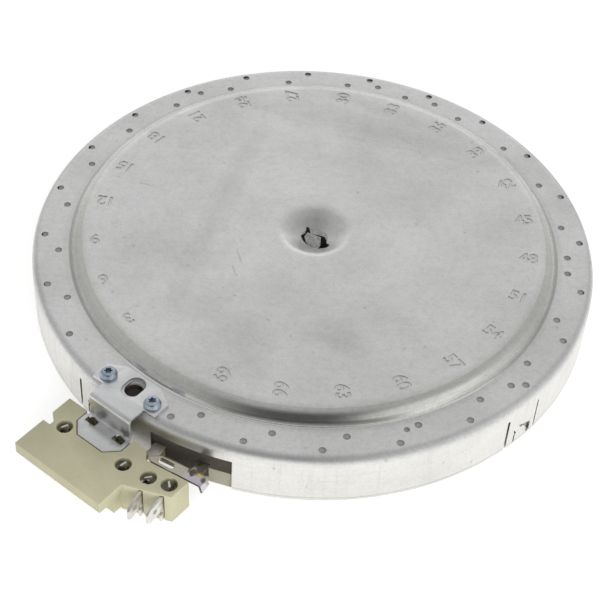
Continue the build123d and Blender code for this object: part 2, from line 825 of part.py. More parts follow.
def make_signal_arm_terminal():
    """Small blade and strip that carry the signal leaf."""
    y = housing_y - signal_lug_inset
    start = -(box_left + signal_blade_reach)
    half = strip_sheet / 2
    inside = signal_pivot_x
    blade = block(start, inside, y - half, y + half, strip_top_z - signal_blade_width, strip_top_z)
    riser = block(-(box_left - box_side_wall), inside, y - half, y + half, strip_top_z - 1, plate_bottom)
    lug = twisted_lug(signal_lug_x, y, strip_top_z - 1, counterbore_z + lug_slot_clearance, strip_sheet)
    bridge_low = plate_bottom - strip_sheet
    rear_y = signal_leaf_y + closed_gap
    right = inside + tab_width
    rear = rear_y + strip_sheet
    bridge = block(inside - 0.8, right, y - half, rear, bridge_low, plate_bottom)
    tab = block(inside, right, rear_y, rear, tube_z - leaf_width / 2, plate_bottom)
    return blade + riser + lug + bridge + tab


def make_power_arm_carrier():
    """Strip from the inner heater lead that carries the power leaf."""
    low = plate_bottom - strip_sheet
    left = carrier_left()
    rear_y = power_leaf_y + closed_gap
    strip = block(left, left + carrier_width, power_leaf_y, housing_y + carrier_reach, low, plate_bottom)
    lug_y = power_leaf_y + power_lug_offset
    shelf = block(power_pivot_x - tab_width, left + carrier_width, power_leaf_y, lug_y + 1, low, plate_bottom)
    lug = twisted_lug(power_lug_x, lug_y, low, counterbore_z + lug_slot_clearance, strip_sheet)
    tab_low = tube_z - leaf_width / 2
    tab_left = power_pivot_x - tab_width
    tab = block(tab_left, power_pivot_x, rear_y, rear_y + strip_sheet / 3, tab_low, plate_bottom)
    return strip + shelf + lug + tab


def spade(depth, body_low):
    """Spade terminal along -Y: blade outside, body and prong inside."""
    high = blade_top_z
    low = high - blade_width
    middle = (high + low) / 2
    shoulder = -(blade_length - blade_tip_length)
    tip_half = blade_tip_width / 2
    outline = [
        (0, low),
        (shoulder, low),
        (-blade_length, middle - tip_half),
        (-blade_length, middle + tip_half),
        (shoulder, high),
        (0, high),
        (depth, high),
        (depth, body_low),
        (depth / 3, body_low),
        (depth / 3, block_bottom_z + 0.4),
        (-prong_reach, block_bottom_z + 0.4),
        (-prong_reach, block_bottom_z + 0.4 + prong_height),
        (0, block_bottom_z + 0.4 + prong_height),
    ]
    sheet = extrude(Plane.YZ * make_face(Polyline(*outline, close=True)), blade_sheet / 2, both=True)
    hole_y = -(blade_length - blade_hole_inset)
    hole = Pos(0, hole_y, middle) * Rot(0, 90, 0) * Cylinder(blade_hole_dia / 2, 4 * blade_sheet)
    return sheet - hole


def line_depth():
    """Length of the line terminal behind the block front."""
    return (power_strip_y - block_front_y(line_blade_x)) / cos(radians(line_blade_angle))


def make_line_terminal():
    """Spade terminal with the bar that carries the fixed power contact."""
    front = block_front_y(line_blade_x)
    sheet = turned(spade(line_depth(), strip_top_z - strip_width), line_blade_x, front, line_blade_angle)
    end = power_contact_x - rivet_dia / 2
    y = power_strip_y
    bar = block(end, line_lug_x + 0.9, y - strip_sheet, y, strip_top_z - strip_width, strip_top_z)
    tab = down_tab(end, power_contact_x + rivet_dia / 2, y)
    lug_top = counterbore_z + lug_slot_clearance
    lug = twisted_lug(line_lug_x, y - strip_sheet / 2, strip_top_z - 1, lug_top, strip_sheet)
    return sheet + bar + tab + lug


def make_neutral_terminal():
    """Spade terminal that runs through the block and meets the strap."""
    front = block_front_y(neutral_blade_x)
    sheet = spade(neutral_depth(), blade_top_z - blade_width / 2)
    return turned(sheet, neutral_blade_x, front, neutral_blade_angle)


def make_strap():
    """Flat strap behind the block that joins the outer lead to its terminal."""
    low = housing_top - strap_sheet
    near = [(x, block_rear_y(x) + strap_rear_gap) for x in (strap_left, strap_right)]
    far = [(x, y + strap_width) for x, y in reversed(near)]
    plate = prism(near + far, low, housing_top)
    inner_x = strap_right - strap_sheet
    hook_outline = [near[1], far[0], (inner_x, far[0][1]), (inner_x, near[1][1])]
    hook = prism(hook_outline, housing_top - strap_hook_drop, housing_top)
    eye_x = strap_left + strap_eye_length / 2 + 1.5
    eye_y = block_rear_y(eye_x) + strap_rear_gap + strap_width / 2
    eye = extrude(Pos(eye_x, eye_y, low - 1) * SlotOverall(strap_eye_length, strap_eye_width), 4)
    lug_r = pan_r + outer_lead_reach - lead_thickness
    passage = lug_slot(0, -lug_r, low - 1, housing_top + 1, lead_thickness)
    return plate + hook - eye - Rot(0, 0, outer_lead_angle) * passage


def make_nodes():
    """Every node of the part by name."""
    power_fixed_face = power_strip_y - strip_sheet
    signal_leaf_face = signal_leaf_y - leaf_sheet
    return {
        "pan": make_pan(),
        "insulation_base": make_insulation_base(),
        "insulation_ring": make_insulation_ring(),
        "heater_ribbon": make_heater_ribbon(),
        "heater_lead_inner": make_inner_lead(),
        "heater_lead_outer": make_outer_lead(),
        "mounting_bracket": make_bracket(),
        "bracket_screws": make_bracket_screws(),
        "limiter_housing": make_housing(),
        "limiter_cover": make_cover(),
        "cover_rivets": make_cover_rivets(),
        "tube_holder": make_tube_holder(),
        "limiter_tube": make_tube(),
        "rod_anchor": make_rod_anchor(),
        "expansion_rod": make_rod(),
        "plunger": make_plunger(),
        "signal_contact_arm": make_signal_arm(),
        "signal_moving_rivet": rivet(signal_contact_x, signal_leaf_face - rivet_height, signal_leaf_face),
        "signal_fixed_rivet": rivet(signal_contact_x, signal_strip_y, signal_strip_y + rivet_height),
        "signal_fixed_terminal": make_signal_fixed_terminal(),
        "signal_arm_terminal": make_signal_arm_terminal(),
        "power_contact_arm": make_power_arm(),
        "power_moving_rivet": rivet(power_contact_x, power_leaf_y, power_leaf_y + rivet_height),
        "power_fixed_rivet": rivet(power_contact_x, power_fixed_face - rivet_height, power_fixed_face),
        "power_arm_carrier": make_power_arm_carrier(),
        "line_terminal": make_line_terminal(),
        "neutral_terminal": make_neutral_terminal(),
        "connecting_strap": make_strap(),
    }


os.makedirs("parts", exist_ok=True)
for name, shape in make_nodes().items():
    export_step(shape, "parts/" + name + ".step")
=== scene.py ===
import json
import math
import bmesh
import bpy
from mathutils import Matrix, Vector


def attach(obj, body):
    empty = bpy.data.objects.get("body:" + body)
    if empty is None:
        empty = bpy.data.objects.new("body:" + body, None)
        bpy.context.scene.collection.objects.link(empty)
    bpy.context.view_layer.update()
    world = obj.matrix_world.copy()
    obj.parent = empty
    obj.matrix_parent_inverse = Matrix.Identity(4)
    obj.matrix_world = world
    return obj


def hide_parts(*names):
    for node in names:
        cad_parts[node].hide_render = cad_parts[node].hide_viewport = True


# Looks of a radiant hob element that lies with its heating face down.
# Lengths in the tables below are in millimetres and angles in degrees; the meshes are in metres.
MM = 0.001

# level directions to the camera, away from it and to its right
FRONT = (0.592, -0.806, 0.0)
AWAY = (-0.592, 0.806, 0.0)
RIGHT = (0.806, 0.592, 0.0)

# drawn pan
PAN_R = 100.0
WALL_TOP_R = 99.8
PAN_SHEET = 0.6
PAN_EDGE_Z = 1.0
RIM_Z = 21.3
RIM_CORNER_R = 3.0
DISC_Z = 26.0
STEP_FOOT_R = 86.4
STEP_TOP_R = 84.0
STEP_ROUNDING = 7.5
DIMPLE_R = 12.6
DIMPLE_FLOOR_R = 4.5
DIMPLE_FLOOR_Z = 21.6
SPIN_STEPS = 288

# rim holes: radius, start and count of each ring; azimuth, radius and size of each spare hole
HOLE_R = 1.25
HOLE_PITCH = 15.0
HOLE_RINGS = ((90.44, -30, 22), (95.6, -20, 23))
SPARE_HOLES = ((112.5, 92.45, 1.25), (157.5, 92.45, 1.25), (172.5, 92.45, 1.25), (234.9, 90.44, 1.25),
               (277.3, 92.45, 1.25), (302.7, 91.1, 1.0))
SERVICE_Y = (-93.9, -91.0)
SERVICE_R = 2.8
SCREW_HOLE_R = 1.6

# openings of the wall; side and half width of the slits of a tongue
TONGUES = (-7.5, -97.5, -187.5, -277.5)
TONGUE_HALF = 4.2
TONGUE_SLITS = ((-1, 0.5), (1, 0.32))
SLIT_TOP_Z = 15.0
NOTCH = (7.0, 23.6)
NOTCH_TOP_Z = 15.0
WALL_CUT_Y = (-104, -96)

# stamped numbers
NUMBER_R = 79.2
NUMBER_PITCH = -5
NUMBER_SIZE = 6.6
STAMP_DEPTH = 0.30
STAMP_SLOPE = 0.24
STAMP_SPREAD = -0.02

# insulation ring and base
RING_IN = 89.8
RING_OUT = 98.9
RING_TOP_Z = 9.5
SKIRT_IN = 97.4
SKIRT_LOW_Z = 7.3
TUBE_Z = 4.0
RING_GAP = (9.7, 18.9)
RING_GAP_LOW_Z = 2.5
RING_CUT_Y = (-104, -86)
FAR_GROOVE_Y = (86, 94.2)
GROOVE_X = (-2.25, 2.25)

# heater foil
FOIL_PITCH = 7.6
FOIL_ARCS = 11
FOIL_END = 20.5
FOIL_LEAD = 8.8
FOIL_LOW_Z = 6.8
FOIL_WAVE = 4.4
FOIL_SWING = 1.25
FOIL_HALF = 1.35
FOIL_SHEET = 0.12

# place along and across, long and short reach, direction and depth of each stain on the disc
STAINS = ((-12.0, 60.0, 46.0, 7.0, 21.0, 0.22), (-8.0, 73.0, 34.0, 3.2, 13.0, 0.18),
          (-32.0, -15.0, 46.0, 5.0, 112.0, 0.17), (10.7, -53.6, 8.5, 7.0, 30.0, 0.14),
          (34.2, -36.7, 8.0, 6.5, 60.0, 0.14), (43.2, -35.9, 7.0, 5.0, 20.0, 0.13),
          (-7.5, -53.0, 12.0, 9.0, 80.0, 0.11), (25.3, -63.2, 5.0, 9.0, 35.0, 0.12),
          (52.0, 40.0, 22.0, 15.0, 60.0, 0.10), (-60.0, 20.0, 12.0, 26.0, 20.0, 0.10))

# torn tab of the dimple and pressed bridges of the wall
LANCE_HOLE = ((-5.4, 2.2), (-4.1, -0.2), (-4.4, -2.4), (-1.8, -4.0), (1.8, -4.7), (5.0, -4.4), (7.2, -2.6),
              (7.2, -0.4), (5.2, 0.4), (4.2, 1.8), (2.3, 2.9), (0.5, 2.3), (-2.5, 1.0), (-4.5, 2.7))
LANCE_TAB = ((-3.5, 0.4), (-3.3, -1.7), (-1.3, -3.2), (1.8, -4.4), (3.9, -3.4), (3.5, -0.9), (1.5, 1.9),
             (-2.2, 0.8))
LANCE_LEAN = 16
BRIDGE_SLIT = ((-3.95, 7.7), (-3.45, 7.8), (-2.5, 6.05), (-3.05, 5.2), (-3.0, 2.1), (-3.6, 2.1), (-3.7, 5.3),
               (-3.2, 6.0))
BRIDGE_MOUTH = ((-0.6, 8.5), (1.5, 8.0), (4.2, 6.9), (4.7, 6.2), (4.8, 4.4), (4.5, 2.4), (3.2, 2.3), (2.6, 3.6),
                (1.4, 5.6))
BRIDGE_LIP = ((-1.0, 8.3), (1.0, 5.3), (2.2, 3.2), (2.7, 1.9), (3.9, 1.9), (3.4, 3.6), (2.1, 5.8), (0.2, 8.3))
BRIDGE_BEND = ((-1.4, -99.98), (0.2, -99.9), (1.6, -99.7), (2.8, -99.45), (4.2, -99.1))
BRIDGE_SHEET = 0.4

# bracket screws
SCREW_X = 9.6
SCREW_Y = -95.0
SCREW_SEAT_Z = 22.3
SCREW_HEAD_R = 2.9
SCREW_HEAD_HEIGHT = 2.3

# limiter, leads and strap
PLATE_LOW_Z = 8.9
PLATE_TOP_Z = 13.6
BORE_R = 2.75
BORE_FLOOR_Z = 11.0
HOLDER_LUG_X = 5.9
HOLDER_LUG_Y = -106.7
HOLDER_SLOT_Y = -107.3
LUG_HEAD = 2.8
LUG_WIDTH = 2.4
TWIST_STEPS = 4
SIGNAL_LUG = (-10.7, -114.7)
POWER_LUG = (13.9, -113.486)
LINE_STRIP_Y = -113.536
LINE_LUG = (23.4, -112.186)
NEUTRAL_LUG = (30.2, -110.0)
BORES = (SIGNAL_LUG, POWER_LUG, LINE_LUG, NEUTRAL_LUG)
LEADS = (8.8, 17.8)
OUTER_LUG_R = 106.6
STRAP_OUTLINE = ((-0.9, 1.0), (1.2, 0.0), (18.6, 0.0), (18.6, 4.2), (5.6, 4.2), (2.6, 3.7), (0.6, 2.4))
STRAP_PLACE = (18.6, -107.3, 13.6)
STRAP_ANGLE = 8.53
STRAP_BEND = 75.0
STRAP_BEND_STEPS = 5
STRAP_SHEET = 0.8

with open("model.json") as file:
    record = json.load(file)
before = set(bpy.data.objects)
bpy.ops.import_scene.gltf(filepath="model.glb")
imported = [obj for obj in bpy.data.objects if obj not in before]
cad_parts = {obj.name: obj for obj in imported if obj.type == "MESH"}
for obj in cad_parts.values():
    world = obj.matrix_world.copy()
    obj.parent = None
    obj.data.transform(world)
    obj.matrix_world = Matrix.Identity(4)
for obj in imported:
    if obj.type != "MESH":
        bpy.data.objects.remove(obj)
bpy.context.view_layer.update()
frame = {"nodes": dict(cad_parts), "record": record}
nodes = frame["nodes"]


# working by hand

def rest():
    """Object mode with nothing selected."""
    if bpy.context.mode != "OBJECT":
        bpy.ops.object.mode_set(mode="OBJECT")
    bpy.ops.object.select_all(action="DESELECT")


def pick(*objects):
    """Only these objects selected, the first one active."""
    rest()
    for o in objects:
        o.select_set(True)
    bpy.context.view_layer.objects.active = objects[0]
    return objects[0]


def edit(obj):
    """Edit mode on one object with all of it selected."""
    pick(obj)
    bpy.ops.object.mode_set(mode="EDIT")
    bpy.ops.mesh.select_all(action="SELECT")


def grab_faces(obj, rule):
    """Edit mode with only the faces selected whose normal meets a rule."""
    edit(obj)
    bpy.ops.mesh.select_mode(type="FACE")
    bpy.ops.mesh.select_all(action="DESELECT")
    rest()
    for f in obj.data.polygons:
        f.select = rule(f.normal)
    pick(obj)
    bpy.ops.object.mode_set(mode="EDIT")


def named(name):
    """The active object under a new name, with its place in its mesh."""
    obj = bpy.context.view_layer.objects.active
    obj.name = name
    obj.data.name = name
    return settle(obj)


def settle(obj):
    """Object at the origin, unturned and unscaled."""
    pick(obj)
    bpy.ops.object.transform_apply(location=True, rotation=True, scale=True)
    return obj


def tidy(obj, gap=1e-6):
    """Doubles merged and faces turned outwards."""
    edit(obj)
    bpy.ops.mesh.remove_doubles(threshold=gap)
    bpy.ops.mesh.normals_make_consistent(inside=False)
    rest()
    return obj


def modify(obj, kind, **values):
    """A modifier set and applied."""
    pick(obj)
    m = obj.modifiers.new(kind.lower(), kind)
    for key, value in values.items():
        setattr(m, key, value)
    bpy.ops.object.modifier_apply(modifier=m.name)
    return obj


def soften(obj, width, segments=2, angle=50):
    """Bevelled edges, in millimetres."""
    return modify(obj, "BEVEL", width=width * MM, segments=segments, limit_method="ANGLE",
                  angle_limit=math.radians(angle))


def thicken(obj, sheet, offset=-1.0):
    """A surface made a sheet, in millimetres."""
    return modify(obj, "SOLIDIFY", thickness=sheet * MM, offset=offset, use_even_offset=True)


def round_edges(obj, width, rule, segments=3):
    """Bevel of the sharp edges whose two ends, in millimetres, meet a rule."""
    edit(obj)
    bpy.ops.mesh.select_mode(type="EDGE")
    bpy.ops.mesh.select_all(action="DESELECT")
    mesh = bmesh.from_edit_mesh(obj.data)
    for e in mesh.edges:
        if len(e.link_faces) == 2 and e.calc_face_angle() > 0.6:
            e.select_set(rule(e.verts[0].co / MM, e.verts[1].co / MM))
    bmesh.update_edit_mesh(obj.data)
    bpy.ops.mesh.bevel(offset=width * MM, segments=segments, affect="EDGES", clamp_overlap=True)
    bpy.ops.mesh.select_mode(type="VERT")
    rest()


def join(first, *others):
    """Several objects made one mesh."""
    if others:
        pick(first, *others)
        bpy.ops.object.join()
    return first


def cut(obj, *tools, operation="DIFFERENCE"):
    """Tools subtracted from an object, or intersected with it, and removed."""
    tool = join(*tools)
    modify(obj, "BOOLEAN", object=tool, operation=operation, solver="MANIFOLD")
    bpy.data.objects.remove(tool)
    return obj


def polar(radius, azimuth):
    """Point at an azimuth from -Y, positive towards +X."""
    a = math.radians(azimuth)
    return radius * math.sin(a), -radius * math.cos(a)


def chain(points, name, closed=False):
    """Line of vertices through points in millimetres, drawn by extruding one vertex."""
    rest()
    bpy.ops.mesh.primitive_plane_add(size=MM, location=Vector(points[0]) * MM)
    obj = named(name)
    edit(obj)
    bpy.ops.mesh.merge(type="CENTER")
    for a, b in zip(points, points[1:]):
        step = (Vector(b) - Vector(a)) * MM
        bpy.ops.mesh.extrude_vertices_move(TRANSFORM_OT_translate={"value": step})
    if closed:
        bpy.ops.mesh.select_all(action="SELECT")
        bpy.ops.mesh.edge_face_add()
    rest()
    return obj


def push(obj, shift):
    """All of a mesh extruded by a shift in millimetres."""
    edit(obj)
    bpy.ops.mesh.extrude_region_move(TRANSFORM_OT_translate={"value": Vector(shift) * MM})
    rest()
    return tidy(obj)


def prism(points, low, high, name):
    """Upright solid over a flat outline."""
    return push(chain([(x, y, low) for x, y in points], name, closed=True), (0, 0, high - low))


def block(x, y, z, name):
    """Box between pairs of limits in millimetres."""
    rest()
    middle = [(a + b) / 2 * MM for a, b in (x, y, z)]
    size = [abs(b - a) * MM for a, b in (x, y, z)]
    bpy.ops.mesh.primitive_cube_add(size=1, location=middle)
    bpy.context.object.scale = size
    return named(name)


def peg(radius, low, high, x, y, name, sides=32):
    """Upright round bar in millimetres."""
    rest()
    bpy.ops.mesh.primitive_cylinder_add(vertices=sides, radius=radius * MM, depth=(high - low) * MM,
                                        location=(x * MM, y * MM, (low + high) / 2 * MM))
    return named(name)


def bar_y(radius, y0, y1, z, name):
    """Round bar along Y in millimetres."""
    rest()
    bpy.ops.mesh.primitive_cylinder_add(vertices=32, radius=radius * MM, depth=abs(y1 - y0) * MM,
                                        location=(0, (y0 + y1) / 2 * MM, z * MM),
                                        rotation=(math.pi / 2, 0, 0))
    return named(name)


def put(obj, place, azimuth=0.0):
    """Object moved in millimetres and turned about its own Z, both kept in its mesh."""
    obj.location = [v * MM for v in place]
    obj.rotation_euler[2] = math.radians(azimuth)
    return settle(obj)


def turn(obj, azimuth):
    """Object turned about the pan axis."""
    return put(obj, (0, 0, 0), azimuth)


def around(obj, pitch, count):
    """Copies of a mesh about the pan axis with falling azimuth, all in one object."""
    edit(obj)
    bpy.ops.mesh.spin(steps=count - 1, dupli=True, angle=math.radians(pitch * (count - 1)),
                      center=(0, 0, 0), axis=(0, 0, 1))
    rest()
    return obj


def spun(points, name, steps=SPIN_STEPS):
    """Surface of revolution about the pan axis from radius and height in millimetres."""
    obj = chain([(r, 0, z) for r, z in points], name)
    edit(obj)
    bpy.ops.mesh.spin(steps=steps, angle=2 * math.pi, center=(0, 0, 0), axis=(0, 0, 1))
    rest()
    return tidy(obj)


def rounded(corners, arcs, lead):
    """Line of radius, height and rounding with its corners drawn as arcs."""
    line = []
    for i, (x, y, r) in enumerate(corners):
        here = Vector((x, y))
        if r == 0 or i in (0, len(corners) - 1):
            line.append((x, y))
            continue
        back = (Vector(corners[i - 1][:2]) - here).normalized()
        ahead = (Vector(corners[i + 1][:2]) - here).normalized()
        half = math.acos(max(-1, min(1, back.dot(ahead)))) / 2
        reach = r / math.tan(half)
        centre = here + (back + ahead).normalized() * (r / math.sin(half))
        start, end = here + back * reach - centre, here + ahead * reach - centre
        sweep = math.atan2(start.x * end.y - start.y * end.x, start.dot(end))
        line.append(tuple(here + back * (reach + lead)))
        for k in range(arcs + 1):
            a = sweep * k / arcs
            c, s = math.cos(a), math.sin(a)
            line.append((centre.x + start.x * c - start.y * s, centre.y + start.x * s + start.y * c))
        line.append(tuple(here + ahead * (reach + lead)))
    return line


def copied(node, name):
    """Merged copy of a CAD node as a piece of its own."""
    obj = bpy.data.objects.new(name, nodes[node].data.copy())
    bpy.context.scene.collection.objects.link(obj)
    obj.data.name = name
    obj.data.materials.clear()
    edit(obj)
    bpy.ops.mesh.customdata_custom_splitnormals_clear()
    bpy.ops.mesh.remove_doubles(threshold=2e-6)
    bpy.ops.mesh.dissolve_limited(angle_limit=math.radians(0.6))
    rest()
    return obj


def dress(obj, slot, node, angle=35):
    """Smooth shading up to an angle, the finish of a record slot and a body for a piece, with its replaced CAD node
    hidden.
    """
    pick(obj)
    bpy.ops.object.shade_smooth_by_angle(angle=math.radians(angle))
    obj.data.materials.clear()
    obj.data.materials.append(finishes[slot])
    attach(obj, "element")
    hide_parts(node)


# node graphs

class Graph:
    """Node tree with short ways to add what the finishes use."""

    def __init__(self, tree):
        self.tree = tree

    def add(self, kind, inputs=None, **settings):
        """Node with its settings, and inputs given as values or links."""
        n = self.tree.nodes.new("ShaderNode" + kind)
        for key, value in settings.items():
            setattr(n, key, value)
        for key, value in (inputs or {}).items():
            if isinstance(value, bpy.types.NodeSocket):
                self.link(value, n.inputs[key])
            else:
                n.inputs[key].default_value = value
        return n

    def link(self, value, socket):
        """Value led into a socket."""
        self.tree.links.new(value, socket)

    def math(self, operation, a, b=0.0, c=0.0, clamp=False):
        """Result of a math node."""
        return self.add("Math", {0: a, 1: b, 2: c}, operation=operation, use_clamp=clamp).outputs[0]

    def times(self, first, *others):
        """Product."""
        for value in others:
            first = self.math("MULTIPLY", first, value)
        return first

    def plus(self, first, *others, clamp=False):
        """Sum."""
        for value in others:
            first = self.math("ADD", first, value, clamp=clamp)
        return first

    def minus(self, a, b):
        """Difference."""
        return self.math("SUBTRACT", a, b)

    def most(self, a, b, clamp=False):
        """Larger value."""
        return self.math("MAXIMUM", a, b, clamp=clamp)

    def scaled(self, value, factor, offset):
        """Value times a factor plus an offset."""
        return self.math("MULTIPLY_ADD", value, factor, offset)

    def split(self, vector):
        """Components of a vector."""
        return self.add("SeparateXYZ", {0: vector}).outputs

    def flat(self, x, y):
        """Vector in the floor plane."""
        return self.add("CombineXYZ", {0: x, 1: y}).outputs[0]

    def length(self, vector):
        """Length of a vector."""
        return self.add("VectorMath", {0: vector}, operation="LENGTH").outputs["Value"]

    def distance(self, a, b):
        """Distance of two points."""
        return self.add("VectorMath", {0: a, 1: b}, operation="DISTANCE").outputs["Value"]

    def dot(self, a, b):
        """Share of one vector along another."""
        return self.add("VectorMath", {0: a, 1: b}, operation="DOT_PRODUCT").outputs["Value"]

    def in_mm(self, vector):
        """Vector in millimetres."""
        return self.add("VectorMath", {0: vector, "Scale": 1 / MM}, operation="SCALE").outputs[0]

    def step(self, value, low, high, bottom=0.0, top=1.0):
        """Value mapped smoothly from one range to another."""
        ends = {"Value": value, "From Min": low, "From Max": high, "To Min": bottom, "To Max": top}
        return self.add("MapRange", ends, interpolation_type="SMOOTHSTEP", clamp=True).outputs[0]

    def band(self, value, rise, fall, top=1.0):
        """Zone of a value between a rise and a fall."""
        return self.times(self.step(value, *rise), self.step(value, *fall, 0.0, top))

    def blend(self, factor, a, b, way="MIX"):
        """Two colours mixed."""
        return self.add("Mix", {0: factor, 6: a, 7: b}, data_type="RGBA", blend_type=way).outputs[2]

    def tint(self, colour, by):
        """Colour times another."""
        return self.blend(1.0, colour, by, "MULTIPLY")

    def noise(self, vector, scale, detail=3.0, rough=0.55):
        """Noise value."""
        given = {"Vector": vector, "Scale": scale, "Detail": detail, "Roughness": rough}
        return self.add("TexNoise", given).outputs[0]

    def specks(self, vector, scale, channel, few, reach):
        """Round specks in a few of the cells."""
        cells = self.add("TexVoronoi", {"Vector": vector, "Scale": scale}).outputs
        chosen = self.step(self.add("SeparateColor", {0: cells["Color"]}).outputs[channel], *few)
        return self.times(self.step(cells["Distance"], *reach), chosen)

    def placed(self, vector, origin, turn_z, size):
        """Coordinates about an origin, turned and in units of a size, in millimetres."""
        given = {"Vector": vector, "Location": [v * MM for v in origin],
                 "Rotation": (0, 0, math.radians(turn_z)), "Scale": [v * MM for v in size]}
        return self.add("Mapping", given, vector_type="TEXTURE").outputs[0]

    def stretched(self, vector, scale, turn_z=0.0):
        """Vector turned about Z, then scaled along each axis."""
        return self.placed(vector, (0, 0, 0), turn_z, [1 / MM / v for v in scale])


def group(name, inputs, outputs):
    """Empty shader group with its input and output sockets."""
    tree = bpy.data.node_groups.new(name, "ShaderNodeTree")
    for kind, label, value in inputs:
        socket = tree.interface.new_socket(label, in_out="INPUT", socket_type="NodeSocket" + kind)
        if value is not None:
            socket.default_value = value
    for kind, label in outputs:
        tree.interface.new_socket(label, in_out="OUTPUT", socket_type="NodeSocket" + kind)
    return Graph(tree), tree.nodes.new("NodeGroupInput").outputs, tree.nodes.new("NodeGroupOutput").inputs


def rolled_sheet_group():
    """Rolled and handled sheet: cloudy patches, rolling lines, specks and fine scratches."""
    g, given, out = group(
        "rolled_sheet",
        [("Vector", "Vector", None), ("Color", "Tone", (0.6, 0.6, 0.6, 1)), ("Color", "Shade", (0.4, 0.4, 0.4, 1)),
         ("Float", "Clouds", 0.5), ("Float", "Lines", 0.4), ("Float", "Marks", 0.5), ("Float", "Gloss", 0.35)],
        [("Color", "Color"), ("Float", "Roughness"), ("Float", "Height")])
    place = given["Vector"]
    cloud = g.step(g.noise(place, 38.0, 6.0, 0.62), 0.36, 0.72)
    along = g.stretched(place, (55.0, 520.0, 520.0), 38.9)
    line = g.step(g.noise(along, 1.0, 4.0, 0.62), 0.40, 0.72)
    marks = g.specks(place, 190.0, 0, (0.80, 0.82), (0.16, 0.05))
    for angle, seed in ((21.0, 3.1), (-37.0, 7.7), (74.0, 12.4)):
        shifted = g.add("VectorMath", {0: place, 1: (seed, seed * 0.6, 0.0)}, operation="ADD").outputs[0]
        thin = g.stretched(shifted, (70.0, 620.0, 90.0), angle)
        hair = g.step(g.noise(thin, 1.0, 2.0, 0.5), 0.72, 0.77)
        where = g.step(g.noise(shifted, 24.0, 2.0), 0.52, 0.66)
        marks = g.most(marks, g.times(hair, where))
    worn = g.times(marks, given["Marks"])
    shade = g.plus(g.times(cloud, given["Clouds"]), g.times(line, given["Lines"]))
    grain = g.noise(place, 1300.0, 3.0, 0.65)
    shade = g.plus(shade, g.step(grain, 0.36, 0.66, 0.0, 0.24))
    shade = g.plus(shade, worn, clamp=True)
    g.link(g.blend(shade, given["Tone"], given["Shade"]), out["Color"])
    rough = g.scaled(grain, 0.08, -0.04)
    rough = g.plus(rough, g.times(shade, 0.10))
    g.link(g.plus(rough, given["Gloss"], clamp=True), out["Roughness"])
    height = g.plus(g.times(grain, 0.4), g.times(line, 0.35))
    g.link(g.minus(height, g.times(worn, 0.6)), out["Height"])
    return g.tree


def pressed_mineral_group():
    """Dry pressed mineral: soft clouds, grain and small dark inclusions."""
    g, given, out = group(
        "pressed_mineral",
        [("Vector", "Vector", None), ("Color", "Tone", (0.6, 0.6, 0.5, 1)), ("Color", "Shade", (0.4, 0.4, 0.3, 1)),
         ("Color", "Speck", (0.2, 0.18, 0.14, 1)), ("Float", "Clouds", 0.6), ("Float", "Scale", 1.0),
         ("Float", "Specks", 0.6)],
        [("Color", "Color"), ("Float", "Roughness"), ("Float", "Height")])
    scaled = g.add("VectorMath", {0: given["Vector"], "Scale": given["Scale"]}, operation="SCALE").outputs[0]
    cloud = g.step(g.noise(scaled, 90.0, 5.0, 0.6), 0.34, 0.70)
    grain = g.noise(scaled, 1100.0, 3.0, 0.65)
    speck = g.times(g.specks(scaled, 420.0, 1, (0.78, 0.80), (0.22, 0.08)), given["Specks"])
    shade = g.times(cloud, given["Clouds"])
    shade = g.plus(shade, g.step(grain, 0.35, 0.75, 0.0, 0.22), clamp=True)
    colour = g.blend(shade, given["Tone"], given["Shade"])
    g.link(g.blend(speck, colour, given["Speck"]), out["Color"])
    g.link(g.step(grain, 0.3, 0.7, 0.62, 0.86), out["Roughness"])
    height = g.minus(grain, g.times(speck, 0.7))
    g.link(g.plus(height, g.times(cloud, 0.5)), out["Height"])
    return g.tree


rolled_sheet = rolled_sheet_group()
pressed_mineral = pressed_mineral_group()


def emptied(owner):
    """Graph of a material or world without its first nodes."""
    owner.use_nodes = True
    owner.node_tree.nodes.clear()
    return Graph(owner.node_tree)


def surface(name, metallic=0.0):
    """New material with an empty principled surface and its object coordinates."""
    m = bpy.data.materials.new(name)
    g = emptied(m)
    shader = g.add("BsdfPrincipled", {"Metallic": metallic})
    g.link(shader.outputs[0], g.add("OutputMaterial").inputs[0])
    return m, g, shader, g.add("TexCoord").outputs["Object"]


def raise_by(g, shader, height, distance):
    """Bump of a height on a surface, in millimetres."""
    bump = g.add("Bump", {"Height": height, "Strength": 0.5, "Distance": distance * MM})
    g.link(bump.outputs[0], shader.inputs["Normal"])


def covered(g, shader, place, effect, bump, **values):
    """Shared effect on a surface: its colour, its roughness and its bump in millimetres."""
    n = g.add("Group", {"Vector": place, **values}, node_tree=effect)
    g.link(n.outputs["Color"], shader.inputs["Base Color"])
    g.link(n.outputs["Roughness"], shader.inputs["Roughness"])
    raise_by(g, shader, n.outputs["Height"], bump)
    return n.outputs


def sheet_finish(slot, tone, shade, gloss, clouds, lines, marks, scale=1.0, metallic=1.0):
    """Bare or plated sheet metal."""
    m, g, shader, place = surface(slot + "_finish", metallic)
    covered(g, shader, g.stretched(place, (scale, scale, scale)), rolled_sheet, SHEET_BUMP,
            Tone=(*tone, 1), Shade=(*shade, 1), Gloss=gloss, Clouds=clouds, Lines=lines, Marks=marks)
    return m


def mineral_finish(slot, tone, shade, speck, clouds, scale, specks, bump):
    """Ceramic or insulation surface."""
    m, g, shader, place = surface(slot + "_finish")
    covered(g, shader, place, pressed_mineral, bump, Tone=(*tone, 1), Shade=(*shade, 1), Speck=(*speck, 1),
            Clouds=clouds, Scale=scale, Specks=specks)
    shader.inputs["Specular IOR Level"].default_value = 0.35
    return m


